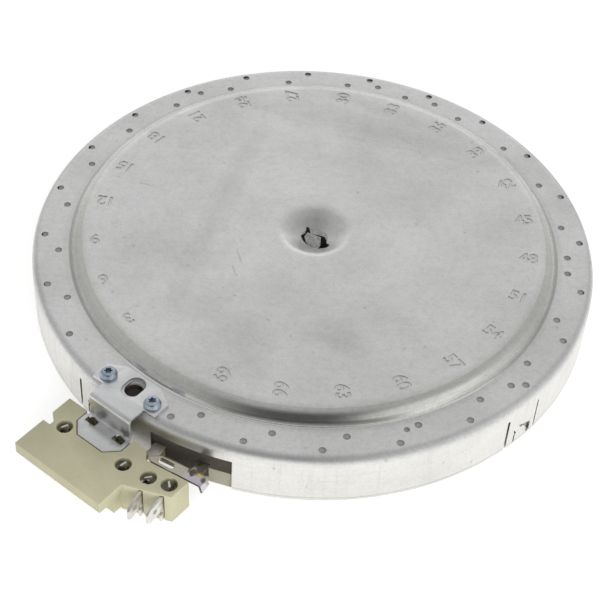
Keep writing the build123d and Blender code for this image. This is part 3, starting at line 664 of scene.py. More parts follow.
def overlaid(m, mask, tone):
    """Tone laid over a finish where a mask of its coordinates in millimetres says."""
    g = Graph(m.node_tree)
    socket = next(n for n in g.tree.nodes if n.type == "BSDF_PRINCIPLED").inputs["Base Color"]
    place = g.in_mm(g.add("TexCoord").outputs["Object"])
    g.link(g.blend(mask(g, place), socket.links[0].from_socket, (*tone, 1)), socket)


def bore_dust(g, place):
    """Painted shade in the round bores over the lugs, darker towards their floors."""
    x, y, z = g.split(place)
    flat = g.flat(x, y)
    near = g.plus(*[g.step(g.distance(flat, (*bore, 0.0)), BORE_R + 0.12, BORE_R - 0.05) for bore in BORES])
    return g.times(near, g.step(z, PLATE_TOP_Z + 0.1, PLATE_TOP_Z - 2.5, 0.0, 0.6))


def lead_oxide(g, place):
    """Oxide that the current left on the outer lead."""
    mottled = g.step(g.noise(place, 0.6, 3.0, 0.6), 0.30, 0.75, 0.55, 0.95)
    return g.times(mottled, g.step(g.split(place)[0], 21.0, 24.0))


def bracket_smudges(g, place):
    """Painted shade over the web and foot of the bracket below the rim, with three painted dark reflections."""
    painted_dark = g.step(g.split(place)[2], 21.6, 19.5, 0.0, 0.12)
    for x, z, reach in ((-3.4, 18.2, 4.2), (7.4, 16.0, 3.0), (1.5, 14.6, 3.4)):
        painted_dark = g.plus(painted_dark, g.step(g.distance(place, (x, -105.0, z)), reach, 0.0, 0.0, 0.34))
    return painted_dark


def stain_of(g, place):
    """Depth of the soft stains on the disc, strongest along their ragged edges."""
    bent = g.scaled(g.noise(place, 60.0, 4.0, 0.6), 1.3, -0.65)
    total = 0.0
    for x, y, long, short, angle, depth in STAINS:
        away = g.plus(g.length(g.placed(place, (x, y, DISC_Z), angle, (long, short, 50.0))), bent)
        rim = g.times(g.step(away, 1.16, 1.04), g.step(away, 0.86, 1.0, 0.0, depth * 0.2))
        total = g.plus(g.step(away, 1.5, 0.1, 0.0, depth), rim, total)
    return total


def pan_finish():
    """Aluminised pan: stained disc, stamped numbers, turned lines on the step, drawn wall, and painted shade and
    highlights at the step's foot, in the dimple and in the numbers.
    """
    m, g, shader, place = surface("pan_steel_finish", 1.0)
    wear = covered(g, shader, place, rolled_sheet, 0.025, Tone=(0.875, 0.875, 0.875, 1),
                   Shade=(0.60, 0.60, 0.60, 1), Clouds=0.26, Lines=0.10, Marks=0.6, Gloss=0.30)
    x, y, z = g.split(g.in_mm(place))
    flat = g.flat(x, y)
    radius = g.length(flat)
    back = g.math("DIVIDE", g.dot(flat, AWAY), radius)
    near = g.step(back, -0.60, -0.78)
    wall = g.step(z, 19.6, 17.6)
    upper = g.minus(1.0, wall)
    step_zone = g.band(radius, (80.0, 82.5), (87.2, 86.6))
    # dark marks: drawing lines of the wall, turned lines of the step, a line over the lower edge
    drawn = g.step(g.noise(g.stretched(place, (620.0, 620.0, 30.0)), 1.0, 3.0, 0.6), 0.48, 0.78)
    across = g.step(g.noise(g.stretched(place, (30.0, 30.0, 620.0)), 1.0, 3.0, 0.6), 0.5, 0.8)
    drawn = g.times(g.plus(drawn, g.times(across, 0.6)), wall)
    ring = g.flat(g.times(radius, 1.5), g.times(g.noise(place, 30.0, 2.0), 1.2))
    turned = g.times(g.step(g.noise(ring, 1.0, 2.0), 0.45, 0.75), g.scaled(step_zone, 0.20, 0.05))
    edge_z = g.plus(z, g.times(g.noise(place, 160.0, 2.0), -0.9))
    edge_line = g.band(edge_z, (1.45, 1.60), (2.05, 1.90), 0.5)
    dark = g.most(g.most(g.times(drawn, 0.22), edge_line), turned)
    # stains, grain and painted shade by the step's foot above the wall; grime in the dimple, with painted shade
    # that deepens it on the far wall
    blotch = g.step(g.noise(place, 22.0, 5.0, 0.6), 0.38, 0.68, 0.0, 0.14)
    # soil just outside the step's foot, deepened by painted shade in that crease
    foot_shade_and_soil = g.band(radius, (86.7, 87.0), (89.5, 87.2), 0.12)
    rim = g.step(radius, 86.6, 87.2, 0.0, 0.03)
    grain = g.step(g.noise(place, 520.0, 3.0, 0.65), 0.40, 0.72, 0.0, 0.12)
    soil_and_shade = g.times(g.plus(stain_of(g, place), blotch, rim, foot_shade_and_soil, grain), upper)
    dimple_grime_and_shade = g.times(g.step(z, 26.0, 22.8), g.step(back, 0.35, 1.0, 0.20, 0.42), g.step(radius, 15.0, 14.0))
    torn = g.times(g.step(g.noise(place, 700.0, 3.0, 0.7), 0.35, 0.65, 0.60, 1.0), g.step(radius, 5.2, 4.6))
    # painted shade in the stamped numbers, strongest on their sloped sides
    stamp = g.times(g.step(z, 25.99, 25.88), g.band(radius, (50.0, 50.5), (80.0, 79.7)))
    stamp = g.times(stamp, g.step(z, 25.72, 25.79, 0.22, 0.66))
    dark = g.most(g.plus(dark, soil_and_shade, g.most(dimple_grime_and_shade, torn)), stamp, clamp=True)
    colour = g.blend(wall, wear["Color"], g.tint(wear["Color"], (0.97, 0.955, 0.915, 1)))
    colour = g.blend(g.times(step_zone, 0.45), colour, g.tint(colour, (1.0, 1.0, 0.93, 1)))
    colour = g.blend(dark, colour, (0.36, 0.36, 0.345, 1))
    # foot of the step: painted shadow at the front, and a thin painted line that is a bright highlight at the front
    # and darker elsewhere
    shadow = g.times(g.band(radius, (85.3, 86.0), (86.5, 86.3)), g.step(back, -0.89, -0.97, 0.0, 0.85))
    colour = g.blend(shadow, colour, (0.24, 0.24, 0.225, 1))
    foot_glint = g.band(radius, (86.55, 86.68), (87.05, 86.92), 0.85)
    foot = g.blend(near, (0.50, 0.50, 0.49, 1), (1.0, 1.0, 0.99, 1))
    g.link(g.blend(foot_glint, colour, foot), shader.inputs["Base Color"])
    corner = g.times(g.step(radius, 96.8, 98.2), g.step(z, 17.2, 18.8))
    rough = g.plus(wear["Roughness"], g.times(corner, 0.18))
    polish = g.times(step_zone, g.step(near, 0.0, 1.0, 0.02, 0.12))
    g.link(g.minus(rough, polish), shader.inputs["Roughness"])
    return m


def base_finish():
    """Pressed insulation: pale grey top under the steel, painted dark shade on its sides and heater face."""
    m, g, shader, place = surface("microporous_finish")
    x, y, z = g.split(g.in_mm(place))
    radius = g.length(g.flat(x, y))
    # grey top; the sides and heater face are painted dark as shade
    tone = g.blend(g.step(z, 19.5, 20.3), (0.085, 0.074, 0.062, 1), (0.50, 0.50, 0.49, 1))
    heated = g.times(g.step(z, 11.0, 9.7), g.step(radius, 97.0, 96.0))
    tone = g.blend(heated, tone, (0.46, 0.44, 0.40, 1))
    under_dimple = g.times(g.step(radius, 10.0, 8.0), g.step(z, 11.0, 13.0))
    tone = g.blend(under_dimple, tone, (0.55, 0.55, 0.53, 1))
    covered(g, shader, place, pressed_mineral, 0.08, Tone=tone, Shade=g.tint(tone, (0.70, 0.68, 0.66, 1)),
            Speck=(0.08, 0.075, 0.065, 1), Clouds=0.5, Scale=0.7, Specks=0.4)
    shader.inputs["Specular IOR Level"].default_value = 0.2
    return m


def strap_finish():
    """Strap with painted dark shade along its front edge, a beige tone that stands in for reflected ceramic, and
    straw and violet heat colours round its lug.
    """
    m, g, shader, place = surface("strap_alloy_finish", 1.0)
    # painted reflection: a beige tone standing in for the ceramic that the strap mirrors
    wear = covered(g, shader, place, rolled_sheet, SHEET_BUMP, Tone=(0.66, 0.63, 0.51, 1),
                   Shade=(0.44, 0.41, 0.33, 1), Clouds=0.5, Lines=0.3, Marks=0.6, Gloss=0.16)
    local = g.placed(place, STRAP_PLACE, STRAP_ANGLE, (1, 1, 1))
    ragged = g.add("VectorMath", {0: local, 1: g.noise(place, 500.0, 3.0)}, operation="ADD").outputs[0]
    along, across = g.split(ragged)[:2]
    violet = g.times(g.step(along, 12.6, 14.2), g.step(across, 3.9, 2.9, 0.0, 0.8))
    colour = g.blend(violet, wear["Color"], (0.66, 0.63, 0.72, 1))
    for x, y, reach, tint in ((17.3, 4.2, 1.7, (0.82, 0.56, 0.16, 1)), (19.2, 2.6, 1.3, (0.13, 0.11, 0.16, 1))):
        away = g.distance(ragged, (x + 0.5, y + 0.5, 0.5))
        colour = g.blend(g.step(away, reach, reach * 0.4, 0.0, 0.9), colour, tint)
    along, across = g.split(local)[:2]
    # painted shade along the front edge, left out over its middle
    shaded_stretch = g.plus(g.step(along, 8.6, 9.4), g.step(along, 6.2, 5.4))
    edge_shade = g.times(shaded_stretch, g.step(across, 0.16, 0.06, 0.0, 0.92))
    g.link(g.blend(edge_shade, colour, (0.07, 0.06, 0.05, 1)), shader.inputs["Base Color"])
    return m


def heater_finish():
    """Oxidised heater foil, darker where the wave lies closest to the base."""
    m, g, shader, place = surface("heater_alloy_finish", 0.85)
    z = g.split(place)[2]
    oxide = g.step(g.noise(place, 260.0, 4.0), 0.35, 0.70)
    rise = g.step(z, 0.0068, 0.0095)
    mask = g.plus(g.times(oxide, 0.6), g.times(rise, 0.4))
    g.link(g.blend(mask, (0.30, 0.27, 0.24, 1), (0.13, 0.12, 0.115, 1)), shader.inputs["Base Color"])
    g.link(g.step(oxide, 0.0, 1.0, 0.42, 0.62), shader.inputs["Roughness"])
    raise_by(g, shader, oxide, 0.01)
    return m


def quartz_finish():
    """Clear tube with faint drawing lines."""
    m, g, shader, place = surface("quartz_finish")
    shader.inputs["Transmission Weight"].default_value = 1.0
    shader.inputs["IOR"].default_value = 1.46
    drawn = g.noise(g.stretched(place, (900.0, 12.0, 900.0)), 1.0, 2.0)
    g.link(g.blend(drawn, (0.97, 0.98, 0.98, 1), (0.90, 0.92, 0.92, 1)), shader.inputs["Base Color"])
    g.link(g.step(drawn, 0.3, 0.8, 0.03, 0.10), shader.inputs["Roughness"])
    raise_by(g, shader, drawn, 0.004)
    return m


SHEET_BUMP = 0.02
# tone, shade, gloss, clouds, lines and marks of each plain sheet; some add a scale and a metal share
SHEETS = {
    "lead_alloy": ((0.88, 0.86, 0.78), (0.62, 0.59, 0.52), 0.40, 0.45, 0.3, 0.4),
    "bracket_steel": ((0.86, 0.865, 0.875), (0.66, 0.665, 0.675), 0.33, 0.25, 0.2, 0.4),
    "screw_zinc": ((0.54, 0.61, 0.70), (0.32, 0.37, 0.44), 0.26, 0.5, 0.2, 0.5, 3.0),
    "rivet_steel": ((0.62, 0.61, 0.58), (0.38, 0.37, 0.35), 0.30, 0.5, 0.2, 0.6, 2.0),
    "holder_steel": ((0.84, 0.83, 0.80), (0.56, 0.55, 0.52), 0.18, 0.35, 0.3, 0.4),
    "rod_alloy": ((0.58, 0.55, 0.50), (0.36, 0.33, 0.29), 0.34, 0.5, 0.5, 0.4),
    "spring_alloy": ((0.70, 0.52, 0.30), (0.48, 0.33, 0.18), 0.28, 0.4, 0.3, 0.4),
    "contact_silver": ((0.88, 0.87, 0.84), (0.62, 0.60, 0.55), 0.25, 0.5, 0.2, 0.5, 2.0),
    "terminal_nickel": ((0.80, 0.79, 0.76), (0.54, 0.52, 0.48), 0.30, 0.35, 0.3, 0.5, 1.0, 0.9),
}
# tone, shade, inclusions, clouds, scale, specks and bump of each mineral
MINERALS = {
    "fibre_ring": ((0.45, 0.43, 0.345), (0.34, 0.32, 0.25), (0.30, 0.27, 0.22), 0.6, 0.6, 0.4, 0.14),
    "steatite": ((0.60, 0.575, 0.405), (0.52, 0.495, 0.34), (0.42, 0.38, 0.26), 0.5, 1.0, 0.25, 0.03),
    "cover_steatite": ((0.64, 0.61, 0.48), (0.55, 0.52, 0.39), (0.34, 0.29, 0.18), 0.5, 1.1, 0.45, 0.03),
}
finishes = {slot: sheet_finish(slot, *values) for slot, values in SHEETS.items()}
finishes.update({slot: mineral_finish(slot, *values) for slot, values in MINERALS.items()})
overlaid(finishes["lead_alloy"], lead_oxide, (0.16, 0.135, 0.10))
# painted shade and painted dark reflections on the bracket's web and foot
overlaid(finishes["bracket_steel"], bracket_smudges, (0.20, 0.20, 0.19))
# painted shade in the counterbores of the ceramic housing
overlaid(finishes["steatite"], bore_dust, (0.10, 0.085, 0.055))
for slot, make in (("pan_steel", pan_finish), ("microporous", base_finish), ("heater_alloy", heater_finish),
                   ("quartz", quartz_finish), ("strap_alloy", strap_finish)):
    finishes[slot] = make()


# pieces

def make_pan():
    """Drawn pan with its rim holes, wall slits, pressed bridges, dimple lance and stamped numbers."""
    outline = rounded([
        (PAN_R, PAN_EDGE_Z, 0), (WALL_TOP_R, RIM_Z, RIM_CORNER_R), (STEP_FOOT_R + 0.2, RIM_Z, 0.12),
        (STEP_FOOT_R + 0.1, RIM_Z + 0.32, 0.15),
        (STEP_TOP_R, DISC_Z, STEP_ROUNDING), (DIMPLE_R, DISC_Z, 7.0),
        (DIMPLE_FLOOR_R, DIMPLE_FLOOR_Z, 3.0), (0, DIMPLE_FLOOR_Z, 0)], 12, 0.08)
    pan = spun(outline, "pan_shell")
    thicken(pan, PAN_SHEET)
    low, high = RIM_Z - 2, RIM_Z + 2
    tools = [around(turn(peg(HOLE_R, low, high, 0, -r, "rim_holes"), start), HOLE_PITCH, count)
             for r, start, count in HOLE_RINGS]
    tools.append(long_hole(SERVICE_R, SERVICE_Y, low, high, "service_hole"))
    for a, r, size in SPARE_HOLES:
        tools.append(turn(peg(size, low, high, 0, -r, "spare_hole"), -a))
    for side in (-1, 1):
        tools.append(peg(SCREW_HOLE_R, low, high, side * SCREW_X, SCREW_Y, "screw_hole"))
    tools.append(prism(LANCE_HOLE, DIMPLE_FLOOR_Z - 2, DIMPLE_FLOOR_Z + 3, "lance_hole"))
    cut(pan, *tools)
    tools = [sector(96, 104, NOTCH, -1, NOTCH_TOP_Z, "notch"),
             block((-3.4, 3.4), WALL_CUT_Y, (-1, TUBE_Z + 3.4), "tube_slot")]
    for a in TONGUES:
        for side, half in TONGUE_SLITS:
            slit = block((-half, half), WALL_CUT_Y, (-1, SLIT_TOP_Z), "tongue_slit")
            tools.append(turn(slit, a + side * TONGUE_HALF))
        tools.append(turn(through_wall(BRIDGE_SLIT, "bridge_slit"), a))
        tools.append(turn(through_wall(BRIDGE_MOUTH, "bridge_mouth"), a))
    cut(pan, *tools)
    cut(pan, *[stamped(str(k), NUMBER_PITCH * k) for k in range(3, 70, 3)])
    for a in TONGUES:
        lip = push(chain([(x, y, 1.5) for x, y in BRIDGE_BEND], "bridge_lip"), (0, 0, 7.5))
        thicken(lip, BRIDGE_SHEET, 1.0)
        cut(lip, through_wall(BRIDGE_LIP, "lip_outline"), operation="INTERSECT")
        join(pan, turn(lip, a))
    tab = prism(LANCE_TAB, -PAN_SHEET, 0, "lance_tab")
    soften(tab, 0.12, 2, 35)
    tab.rotation_euler = Matrix.Rotation(math.radians(LANCE_LEAN), 4, RIGHT).to_euler()
    tab.location = (0, 0, (DIMPLE_FLOOR_Z - 0.1) * MM)
    settle(tab)
    join(pan, tab)
    dress(pan, "pan_steel", "pan", 30)


def long_hole(radius, y, low, high, name):
    """Cutter for a hole with round ends along Y."""
    points = []
    for centre, start in ((max(y), 0), (min(y), 180)):
        for i in range(17):
            a = math.radians(start + 180 * i / 16)
            points.append((radius * math.cos(a), centre + radius * math.sin(a)))
    return prism(points, low, high, name)


def through_wall(points, name):
    """Solid across the near wall over an outline in X and Z."""
    start, end = WALL_CUT_Y
    return push(chain([(x, start, z) for x, z in points], name, closed=True), (0, end - start, 0))


def stamped(text, azimuth):
    """Cutter for one stamped number, its baseline along a radius."""
    rest()
    bpy.ops.object.text_add()
    obj = bpy.context.object
    obj.data.body = text
    obj.data.size = NUMBER_SIZE * MM
    obj.data.align_x = "RIGHT"
    obj.data.align_y = "CENTER"
    obj.data.bevel_depth = STAMP_SLOPE * MM
    obj.data.extrude = (STAMP_DEPTH - STAMP_SLOPE) * MM
    obj.data.offset = STAMP_SPREAD * MM
    obj.data.resolution_u = 4
    bpy.ops.object.convert(target="MESH")
    obj = bpy.context.object
    return tidy(put(obj, (*polar(NUMBER_R, azimuth), DISC_Z), azimuth - 90), 1e-7)


def foil_points():
    """Centre line of the heater foil with its wave: half rings to the middle and out again."""
    half_turns = [(1 if i % 2 == 0 else -1, FOIL_ARCS - 1 - i, 1) for i in range(FOIL_ARCS)]
    half_turns += [(-1 if i % 2 == 0 else 1, i, -1) for i in range(FOIL_ARCS)]
    line = []
    run = 0.0
    for i, (side, k, way) in enumerate(half_turns):
        radius = (k + 0.5) * FOIL_PITCH
        begin = 0.0 if side == way else math.pi
        sweep = way * math.pi
        if i == len(half_turns) - 1:
            sweep *= (FOIL_END - FOIL_LEAD) / 180
        length = radius * abs(sweep)
        count = max(8, round(10 * length / FOIL_WAVE))
        for j in range(count):
            a = begin + sweep * j / count
            swing = FOIL_SWING * math.sin(2 * math.pi * (run + length * j / count) / FOIL_WAVE)
            r = radius + swing * way
            line.append((side * FOIL_PITCH / 2 + r * math.cos(a), r * math.sin(a)))
        run += length
    return line


def make_foil():
    """Waved heater foil on edge, as one band."""
    line = foil_points()
    shape = bpy.data.curves.new("heater_foil", "CURVE")
    shape.dimensions = "2D"
    shape.fill_mode = "NONE"
    band = shape.splines.new("POLY")
    band.points.add(len(line) - 1)
    for point, (x, y) in zip(band.points, line):
        point.co = (x * MM, y * MM, 0, 1)
    shape.extrude = FOIL_HALF * MM
    obj = bpy.data.objects.new("heater_foil", shape)
    bpy.context.scene.collection.objects.link(obj)
    pick(obj)
    bpy.ops.object.convert(target="MESH")
    obj = bpy.context.object
    put(obj, (0, 0, FOIL_LOW_Z + FOIL_HALF), FOIL_END - 90)
    thicken(obj, FOIL_SHEET, 0.0)
    dress(obj, "heater_alloy", "heater_ribbon", 50)


def make_ring():
    """Insulation ring with soft edges, tube and lead grooves and a gap between the leads."""
    ring = spun(rounded([(RING_IN, 4.0, 0), (RING_IN, 0.0, 1.2), (RING_OUT, 0.0, 0.8), (RING_OUT, SKIRT_LOW_Z, 0.3),
                         (SKIRT_IN, SKIRT_LOW_Z, 0), (SKIRT_IN, RING_TOP_Z, 0), (RING_IN, RING_TOP_Z, 0.4),
                         (RING_IN, 4.0, 0)], 4, 0.5), "fibre_ring")
    tools = []
    for y in (RING_CUT_Y, FAR_GROOVE_Y):
        tools += [block(GROOVE_X, y, (-3, TUBE_Z), "tube_groove"), bar_y(GROOVE_X[1], *y, TUBE_Z, "groove_top")]
    cut(ring, *tools, *lead_grooves())
    cut(ring, sector(93.0, 104.0, RING_GAP, RING_GAP_LOW_Z, 12, "ring_gap"))
    dress(ring, "fibre_ring", "insulation_ring", 40)


def sector(inner, outer, span, low, high, name):
    """Upright sector of a ring between two azimuths."""
    azimuths = [span[0] + (span[1] - span[0]) * i / 8 for i in range(9)]
    points = [polar(inner, a) for a in azimuths] + [polar(outer, a) for a in reversed(azimuths)]
    return prism(points, low, high, name)


def lead_grooves():
    """Cutters for the grooves of both leads."""
    return [turn(block(GROOVE_X, RING_CUT_Y, (8.6, 12), "lead_groove"), a) for a in LEADS]


def twisted_lug(x, y, low, seat, sheet, angle, head, base_turn=0.0):
    """Upright lug whose head is turned above its seat."""
    lug = block((x - LUG_WIDTH / 2, x + LUG_WIDTH / 2), (y - sheet / 2, y + sheet / 2), (low, seat), "lug")
    if base_turn:
        edit(lug)
        bpy.ops.transform.rotate(value=math.radians(-base_turn), orient_axis="Z",
                                 center_override=(x * MM, y * MM, 0))
    grab_faces(lug, lambda normal: normal.z > 0.9)
    for i in range(TWIST_STEPS):
        bpy.ops.mesh.extrude_region_move(TRANSFORM_OT_translate={"value": (0, 0, head / TWIST_STEPS * MM)})
        bpy.ops.transform.rotate(value=math.radians(-angle / TWIST_STEPS), orient_axis="Z",
                                 center_override=(x * MM, y * MM, 0))
    bpy.ops.mesh.select_mode(type="VERT")
    rest()
    return soften(lug, 0.1)


def make_base():
    """Pressed insulation with a pit under the torn tab, a skirt round the ring and a plug in the service hole."""
    obj = copied("insulation_base", "pressed_base")
    cut(obj, peg(7.8, 12, 27, 0, 0, "lance_pit", 48))
    inner, low, high = SKIRT_IN + 0.1, SKIRT_LOW_Z + 0.1, RING_TOP_Z + 0.2
    skirt = spun([(inner, high), (inner, low), (RING_OUT, low), (RING_OUT, high), (inner, high)], "base_skirt")
    filler = sector(93.1, RING_OUT - 0.1, (RING_GAP[0] + 0.05, RING_GAP[1] - 0.05), RING_GAP_LOW_Z + 0.1,
                    RING_TOP_Z + 0.1, "gap_filler")
    for piece in (skirt, filler):
        cut(piece, *lead_grooves())
    plug = peg(3.0, 14.0, 18.4, 0, -93.6, "service_plug", 48)
    join(obj, skirt, filler, plug)
    dress(obj, "microporous", "insulation_base", 25)


def crossed(x, y, low, high, length, width, angle):
    """Cutter that widens a lug slot where the lug was twisted."""
    tool = block((-length / 2, length / 2), (-width / 2, width / 2), (low, high), "twist_slot")
    return put(tool, (x, y, 0), angle)


def make_bracket():
    """Folded bracket with rounded sheet edges and widened lug slots."""
    obj = copied("mounting_bracket", "folded_bracket")
    cut(obj, *[crossed(x, HOLDER_SLOT_Y, 11, 15, 4.2, 2.2, 0) for x in (-HOLDER_LUG_X, HOLDER_LUG_X)])
    soften(obj, 0.18, 2, 40)
    dress(obj, "bracket_steel", "mounting_bracket")


def make_screws():
    """Pan-head screws with a six-lobe drive."""
    screws = None
    for side in (-1, 1):
        top = SCREW_SEAT_Z + SCREW_HEAD_HEIGHT
        outline = [(0, SCREW_SEAT_Z, 0), (SCREW_HEAD_R, SCREW_SEAT_Z, 0.25),
                   (SCREW_HEAD_R, SCREW_SEAT_Z + 0.9, 0.5), (2.2, top - 0.15, 0.9), (1.2, top, 0.4), (0, top, 0)]
        head = spun(rounded(outline, 4, 0.05), "screw_head", 48)
        lobes = []
        for i in range(48):
            a = 2 * math.pi * i / 48
            r = 1.18 + 0.24 * math.cos(6 * a)
            lobes.append((r * math.cos(a), r * math.sin(a)))
        drive = prism(lobes, top - 1.4, top + 1, "screw_drive")
        cut(head, drive)
        soften(head, 0.06, 1)
        shank = soften(peg(1.45, SCREW_SEAT_Z - 6, SCREW_SEAT_Z + 0.4, 0, 0, "screw_shank"), 0.3, 1)
        join(head, shank)
        put(head, (side * SCREW_X, SCREW_Y, 0), 17 * side)
        screws = head if screws is None else join(screws, head)
    screws.name = "bracket_screw_pair"
    dress(screws, "screw_zinc", "bracket_screws")


def make_housing():
    """Ceramic housing with softly pressed edges and widened lug slots."""
    obj = copied("limiter_housing", "ceramic_housing")

    def pressed(p, q):
        """Whether an edge is one of the softly pressed ones."""
        long_edge = (p - q).length > 1.2
        flat_top = min(p.z, q.z) > PLATE_TOP_Z - 0.01
        corner = abs(p.z - q.z) > 4.0
        underside = max(p.z, q.z) < PLATE_LOW_Z + 0.01 and min(p.y, q.y) < -122.7
        return long_edge and (flat_top or corner or underside)

    round_edges(obj, 0.3, pressed)
    for x in (-HOLDER_LUG_X, HOLDER_LUG_X):
        cut(obj, crossed(x, HOLDER_SLOT_Y, 9.4, 12.4, 4.4, 2.4, 0))
    for x, y in (SIGNAL_LUG, POWER_LUG):
        cut(obj, crossed(x, y, 9.2, 11.2, 3.4, 2.0, 45))
    cut(obj, crossed(*LINE_LUG, 9.2, 11.2, 3.0, 1.2, 20))
    dress(obj, "steatite", "limiter_housing")


def eased(node, name, slot, width, segments=2):
    """Copy of a CAD node with eased edges."""
    dress(soften(copied(node, name), width, segments), slot, node)


def make_strap():
    """Connecting strap: pointed end with an eye, plain plate, end bent down."""
    plate = prism(STRAP_OUTLINE, -STRAP_SHEET, 0.0, "strap_plate")
    grab_faces(plate, lambda normal: normal.x > 0.99)
    end = max(x for x, y in STRAP_OUTLINE)
    for i in range(STRAP_BEND_STEPS):
        bpy.ops.mesh.extrude_region_move(TRANSFORM_OT_translate={"value": (0, 0, 0)})
        bpy.ops.transform.rotate(value=math.radians(-STRAP_BEND / STRAP_BEND_STEPS), orient_axis="Y",
                                 center_override=(end * MM, 0, -1.3 * MM))
    lean = math.radians(STRAP_BEND)
    drop = Vector((math.cos(lean), 0, -math.sin(lean))) * 2.2 * MM
    bpy.ops.mesh.extrude_region_move(TRANSFORM_OT_translate={"value": drop})
    bpy.ops.mesh.select_mode(type="VERT")
    tidy(plate)
    eye = block((2.8, 8.6), (1.0, 3.1), (-3, 3), "strap_eye")
    round_edges(eye, 0.9, lambda p, q: abs(p.z - q.z) > 1, 5)
    cut(plate, eye)
    soften(plate, 0.1, 2, 40)
    put(plate, STRAP_PLACE, STRAP_ANGLE)
    cut(plate, crossed(*polar(OUTER_LUG_R, LEADS[1]), 12, 15, 3.4, 1.8, LEADS[1]))
    dress(plate, "strap_alloy", "connecting_strap")


def make_leads():
    """Flat heater leads; the outer one ends in a lug twisted over the strap."""
    eased("heater_lead_inner", "inner_lead", "lead_alloy", 0.1)
    strip = block((-2.0, 2.0), (-107.2, -83.95), (8.9, 9.5), "outer_lead")
    soften(strip, 0.1)
    lug = twisted_lug(0, -OUTER_LUG_R, 9.2, 13.55, 0.6, 55, 2.0)
    join(strip, lug)
    turn(strip, LEADS[1])
    dress(strip, "lead_alloy", "heater_lead_outer")


def lowered(obj):
    """Strip without what stands above the underside of the housing plate."""
    return cut(obj, block((-60, 60), (-140, -80), (PLATE_LOW_Z + 0.1, 40), "above_plate"))


def topped(node, name, lug, low, angle):
    """Terminal strip whose lug is twisted in its counterbore."""
    obj = lowered(copied(node, name))
    soften(obj, 0.06, 1)
    join(obj, twisted_lug(*lug, low, BORE_FLOOR_Z, 0.6, angle, LUG_HEAD))
    dress(obj, "terminal_nickel", node)


def make_blades():
    """Large spade terminals and the fixed signal strip."""
    line = copied("line_terminal", "line_blade")
    x, y = LINE_LUG
    cut(line, block((x - 1.5, x + 1.5), (LINE_STRIP_Y - 0.6, LINE_STRIP_Y + 0.6), (8.6, 20), "strip_top"))
    soften(line, 0.08)
    step = block((x - 1.2, x + 1.2), (LINE_STRIP_Y, y + 0.25), (7.5, 8.1), "line_lug_step")
    join(line, step, twisted_lug(x, y, 7.6, BORE_FLOOR_Z, 0.5, 54, LUG_HEAD))
    dress(line, "terminal_nickel", "line_terminal")
    neutral = copied("neutral_terminal", "neutral_blade")
    x, y = NEUTRAL_LUG
    cut(neutral, peg(BORE_R, 8.6, 20, x, y, "bore_clearance", 48))
    soften(neutral, 0.08)
    join(neutral, twisted_lug(x, y, 8.0, BORE_FLOOR_Z, 0.7, 50, LUG_HEAD, base_turn=90))
    dress(neutral, "terminal_nickel", "neutral_terminal")
    eased("signal_fixed_terminal", "signal_fixed_strip", "terminal_nickel", 0.06, 1)


def make_holder():
    """Tube holder plate with two twisted lugs."""
    obj = lowered(copied("tube_holder", "holder_plate"))
    lugs = [twisted_lug(x, HOLDER_LUG_Y, 8.0, 12.6, 0.8, 72, 3.0)
            for x in (-HOLDER_LUG_X, HOLDER_LUG_X)]
    join(obj, *lugs)
    dress(obj, "holder_steel", "tube_holder")


make_pan()
make_base()
make_foil()
make_ring()
make_leads()
make_bracket()
make_screws()
make_housing()
eased("limiter_cover", "ceramic_cover", "cover_steatite", 0.12)
eased("cover_rivets", "cover_rivet_pair", "rivet_steel", 0.16)
make_strap()
make_holder()
make_blades()
topped("signal_arm_terminal", "signal_arm_strip", SIGNAL_LUG, 7.2, 68)
topped("power_arm_carrier", "power_carrier_strip", POWER_LUG, 8.4, 85)

for part in frame["record"]["subparts"]:
    mesh = nodes[part["node"]].data
    mesh.materials.clear()
    mesh.materials.append(finishes[part["material_slot"]])


# floor, light and camera

def make_floor():
    """Plain pale floor. Bright metal mirrors it lit nearby and dim far away."""
    rest()
    bpy.ops.mesh.primitive_plane_add(size=6, location=(0, 0, 0))
    floor = named("floor")
    m = bpy.data.materials.new("floor_paper")
    g = emptied(m)
    paths = g.add("LightPath").outputs
    away = g.length(g.add("TexCoord").outputs["Object"])
    far = g.times(g.step(away, 0.25, 0.80), paths["Is Glossy Ray"])
    near = g.minus(paths["Is Glossy Ray"], far)
    paper = g.add("BsdfDiffuse", {"Color": g.blend(far, (0.90, 0.90, 0.90, 1), (0.30, 0.30, 0.30, 1))})
    level = g.scaled(paths["Is Camera Ray"], 0.54, g.times(near, 0.46))
    glow = g.add("Emission", {"Color": (1, 1, 1, 1), "Strength": level})
    both = g.add("AddShader", {0: paper.outputs[0], 1: glow.outputs[0]})
    g.link(both.outputs[0], g.add("OutputMaterial").inputs[0])
    floor.data.materials.append(m)


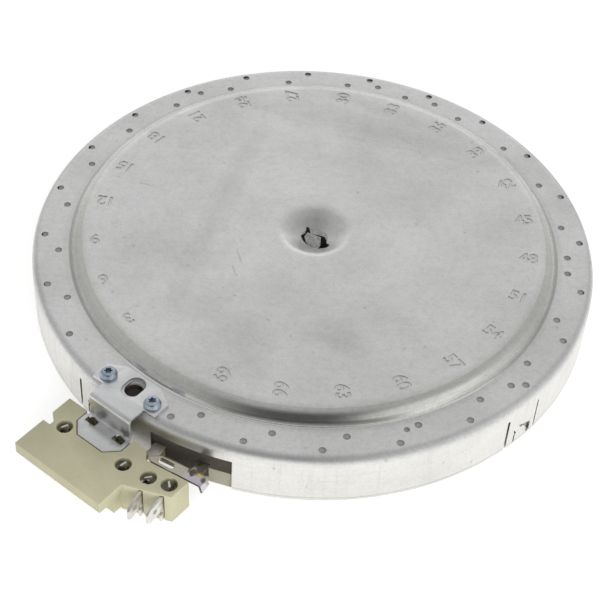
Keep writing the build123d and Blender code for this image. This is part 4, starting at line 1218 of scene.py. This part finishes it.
def make_sky():
    """Studio surround. Bright metal mirrors a pale tent, a dark gap around the camera, a panel to the right
    and pale strips low down; the light itself comes mostly from the front."""
    world = bpy.data.worlds.new("studio")
    bpy.context.scene.world = world
    g = emptied(world)
    way = g.add("TexCoord").outputs["Generated"]
    height = g.split(way)[2]

    def toward(direction, low, high, bottom=0.0, top=1.0):
        """Level by nearness to a direction."""
        return g.step(g.dot(way, Vector(direction).normalized()), low, high, bottom, top)

    gap = g.step(g.math("ABSOLUTE", g.plus(g.dot(way, RIGHT), 0.05)), 0.62, 0.18)
    gap = g.times(gap, toward(FRONT, 0.15, 0.65, 0.0, 0.84), g.step(height, 0.14, 0.28))
    tent = g.times(toward((-0.408, 0.556, 0.72), 0.45, 1.08, 0.44, 0.655), g.minus(1.0, gap))
    panel = toward((0.88, -0.04, 0.45), 0.86, 0.96, 0.0, 0.31)
    horizon = g.times(g.step(height, 0.62, 0.48), toward(AWAY, 0.62, 0.92, 0.0, 0.30))
    far_right = toward((0.90, 0.40, 0.10), 0.70, 1.0, 0.0, 0.22)
    low_front = g.times(g.step(height, 0.29, 0.19), toward(FRONT, 0.45, 0.85, 0.0, 0.36))
    mirrored = g.plus(tent, panel, horizon, far_right, low_front)
    lit = g.scaled(g.times(g.step(height, 0.60, 0.0), toward((0.76, -0.65, 0.0), -0.1, 1.0)), 2.2, 0.50)
    paths = g.add("LightPath").outputs
    level = g.add("Mix", {0: paths["Is Glossy Ray"], 2: lit, 3: mirrored}).outputs[0]
    level = g.add("Mix", {0: paths["Is Camera Ray"], 2: level, 3: 1.0}).outputs[0]
    studio = g.add("Background", {"Color": (1.0, 1.0, 0.995, 1), "Strength": level})
    g.link(studio.outputs[0], g.add("OutputWorld").inputs[0])


def make_lamp(name, place, aim, size, power):
    """Soft square lamp."""
    lamp = bpy.data.lights.new(name, "AREA")
    lamp.shape = "SQUARE"
    lamp.size = size
    lamp.energy = power
    obj = bpy.data.objects.new(name, lamp)
    bpy.context.scene.collection.objects.link(obj)
    obj.location = place
    obj.rotation_euler = (Vector(aim) - Vector(place)).to_track_quat("-Z", "Y").to_euler()
    obj.visible_glossy = False


def make_camera():
    """Camera at the photo's angle."""
    lens = bpy.data.cameras.new("photo_camera")
    lens.lens = 88.67
    lens.sensor_width = 36
    camera = bpy.data.objects.new("photo_camera", lens)
    bpy.context.scene.collection.objects.link(camera)
    right = (0.77792, 0.62688, 0.04304)
    up = (-0.47468, 0.54141, 0.69395)
    back = (0.41172, -0.56026, 0.71874)
    turned = Matrix((right, up, back)).transposed().to_4x4()
    turned.translation = (0.2238, -0.3109, 0.3854)
    camera.matrix_world = turned
    bpy.context.scene.camera = camera


make_floor()
make_sky()
make_lamp("right_lamp", (0.90, -0.50, 0.50), (0, 0, 0), 0.7, 4.2)
make_camera()
bpy.context.scene.view_settings.view_transform = "Standard"
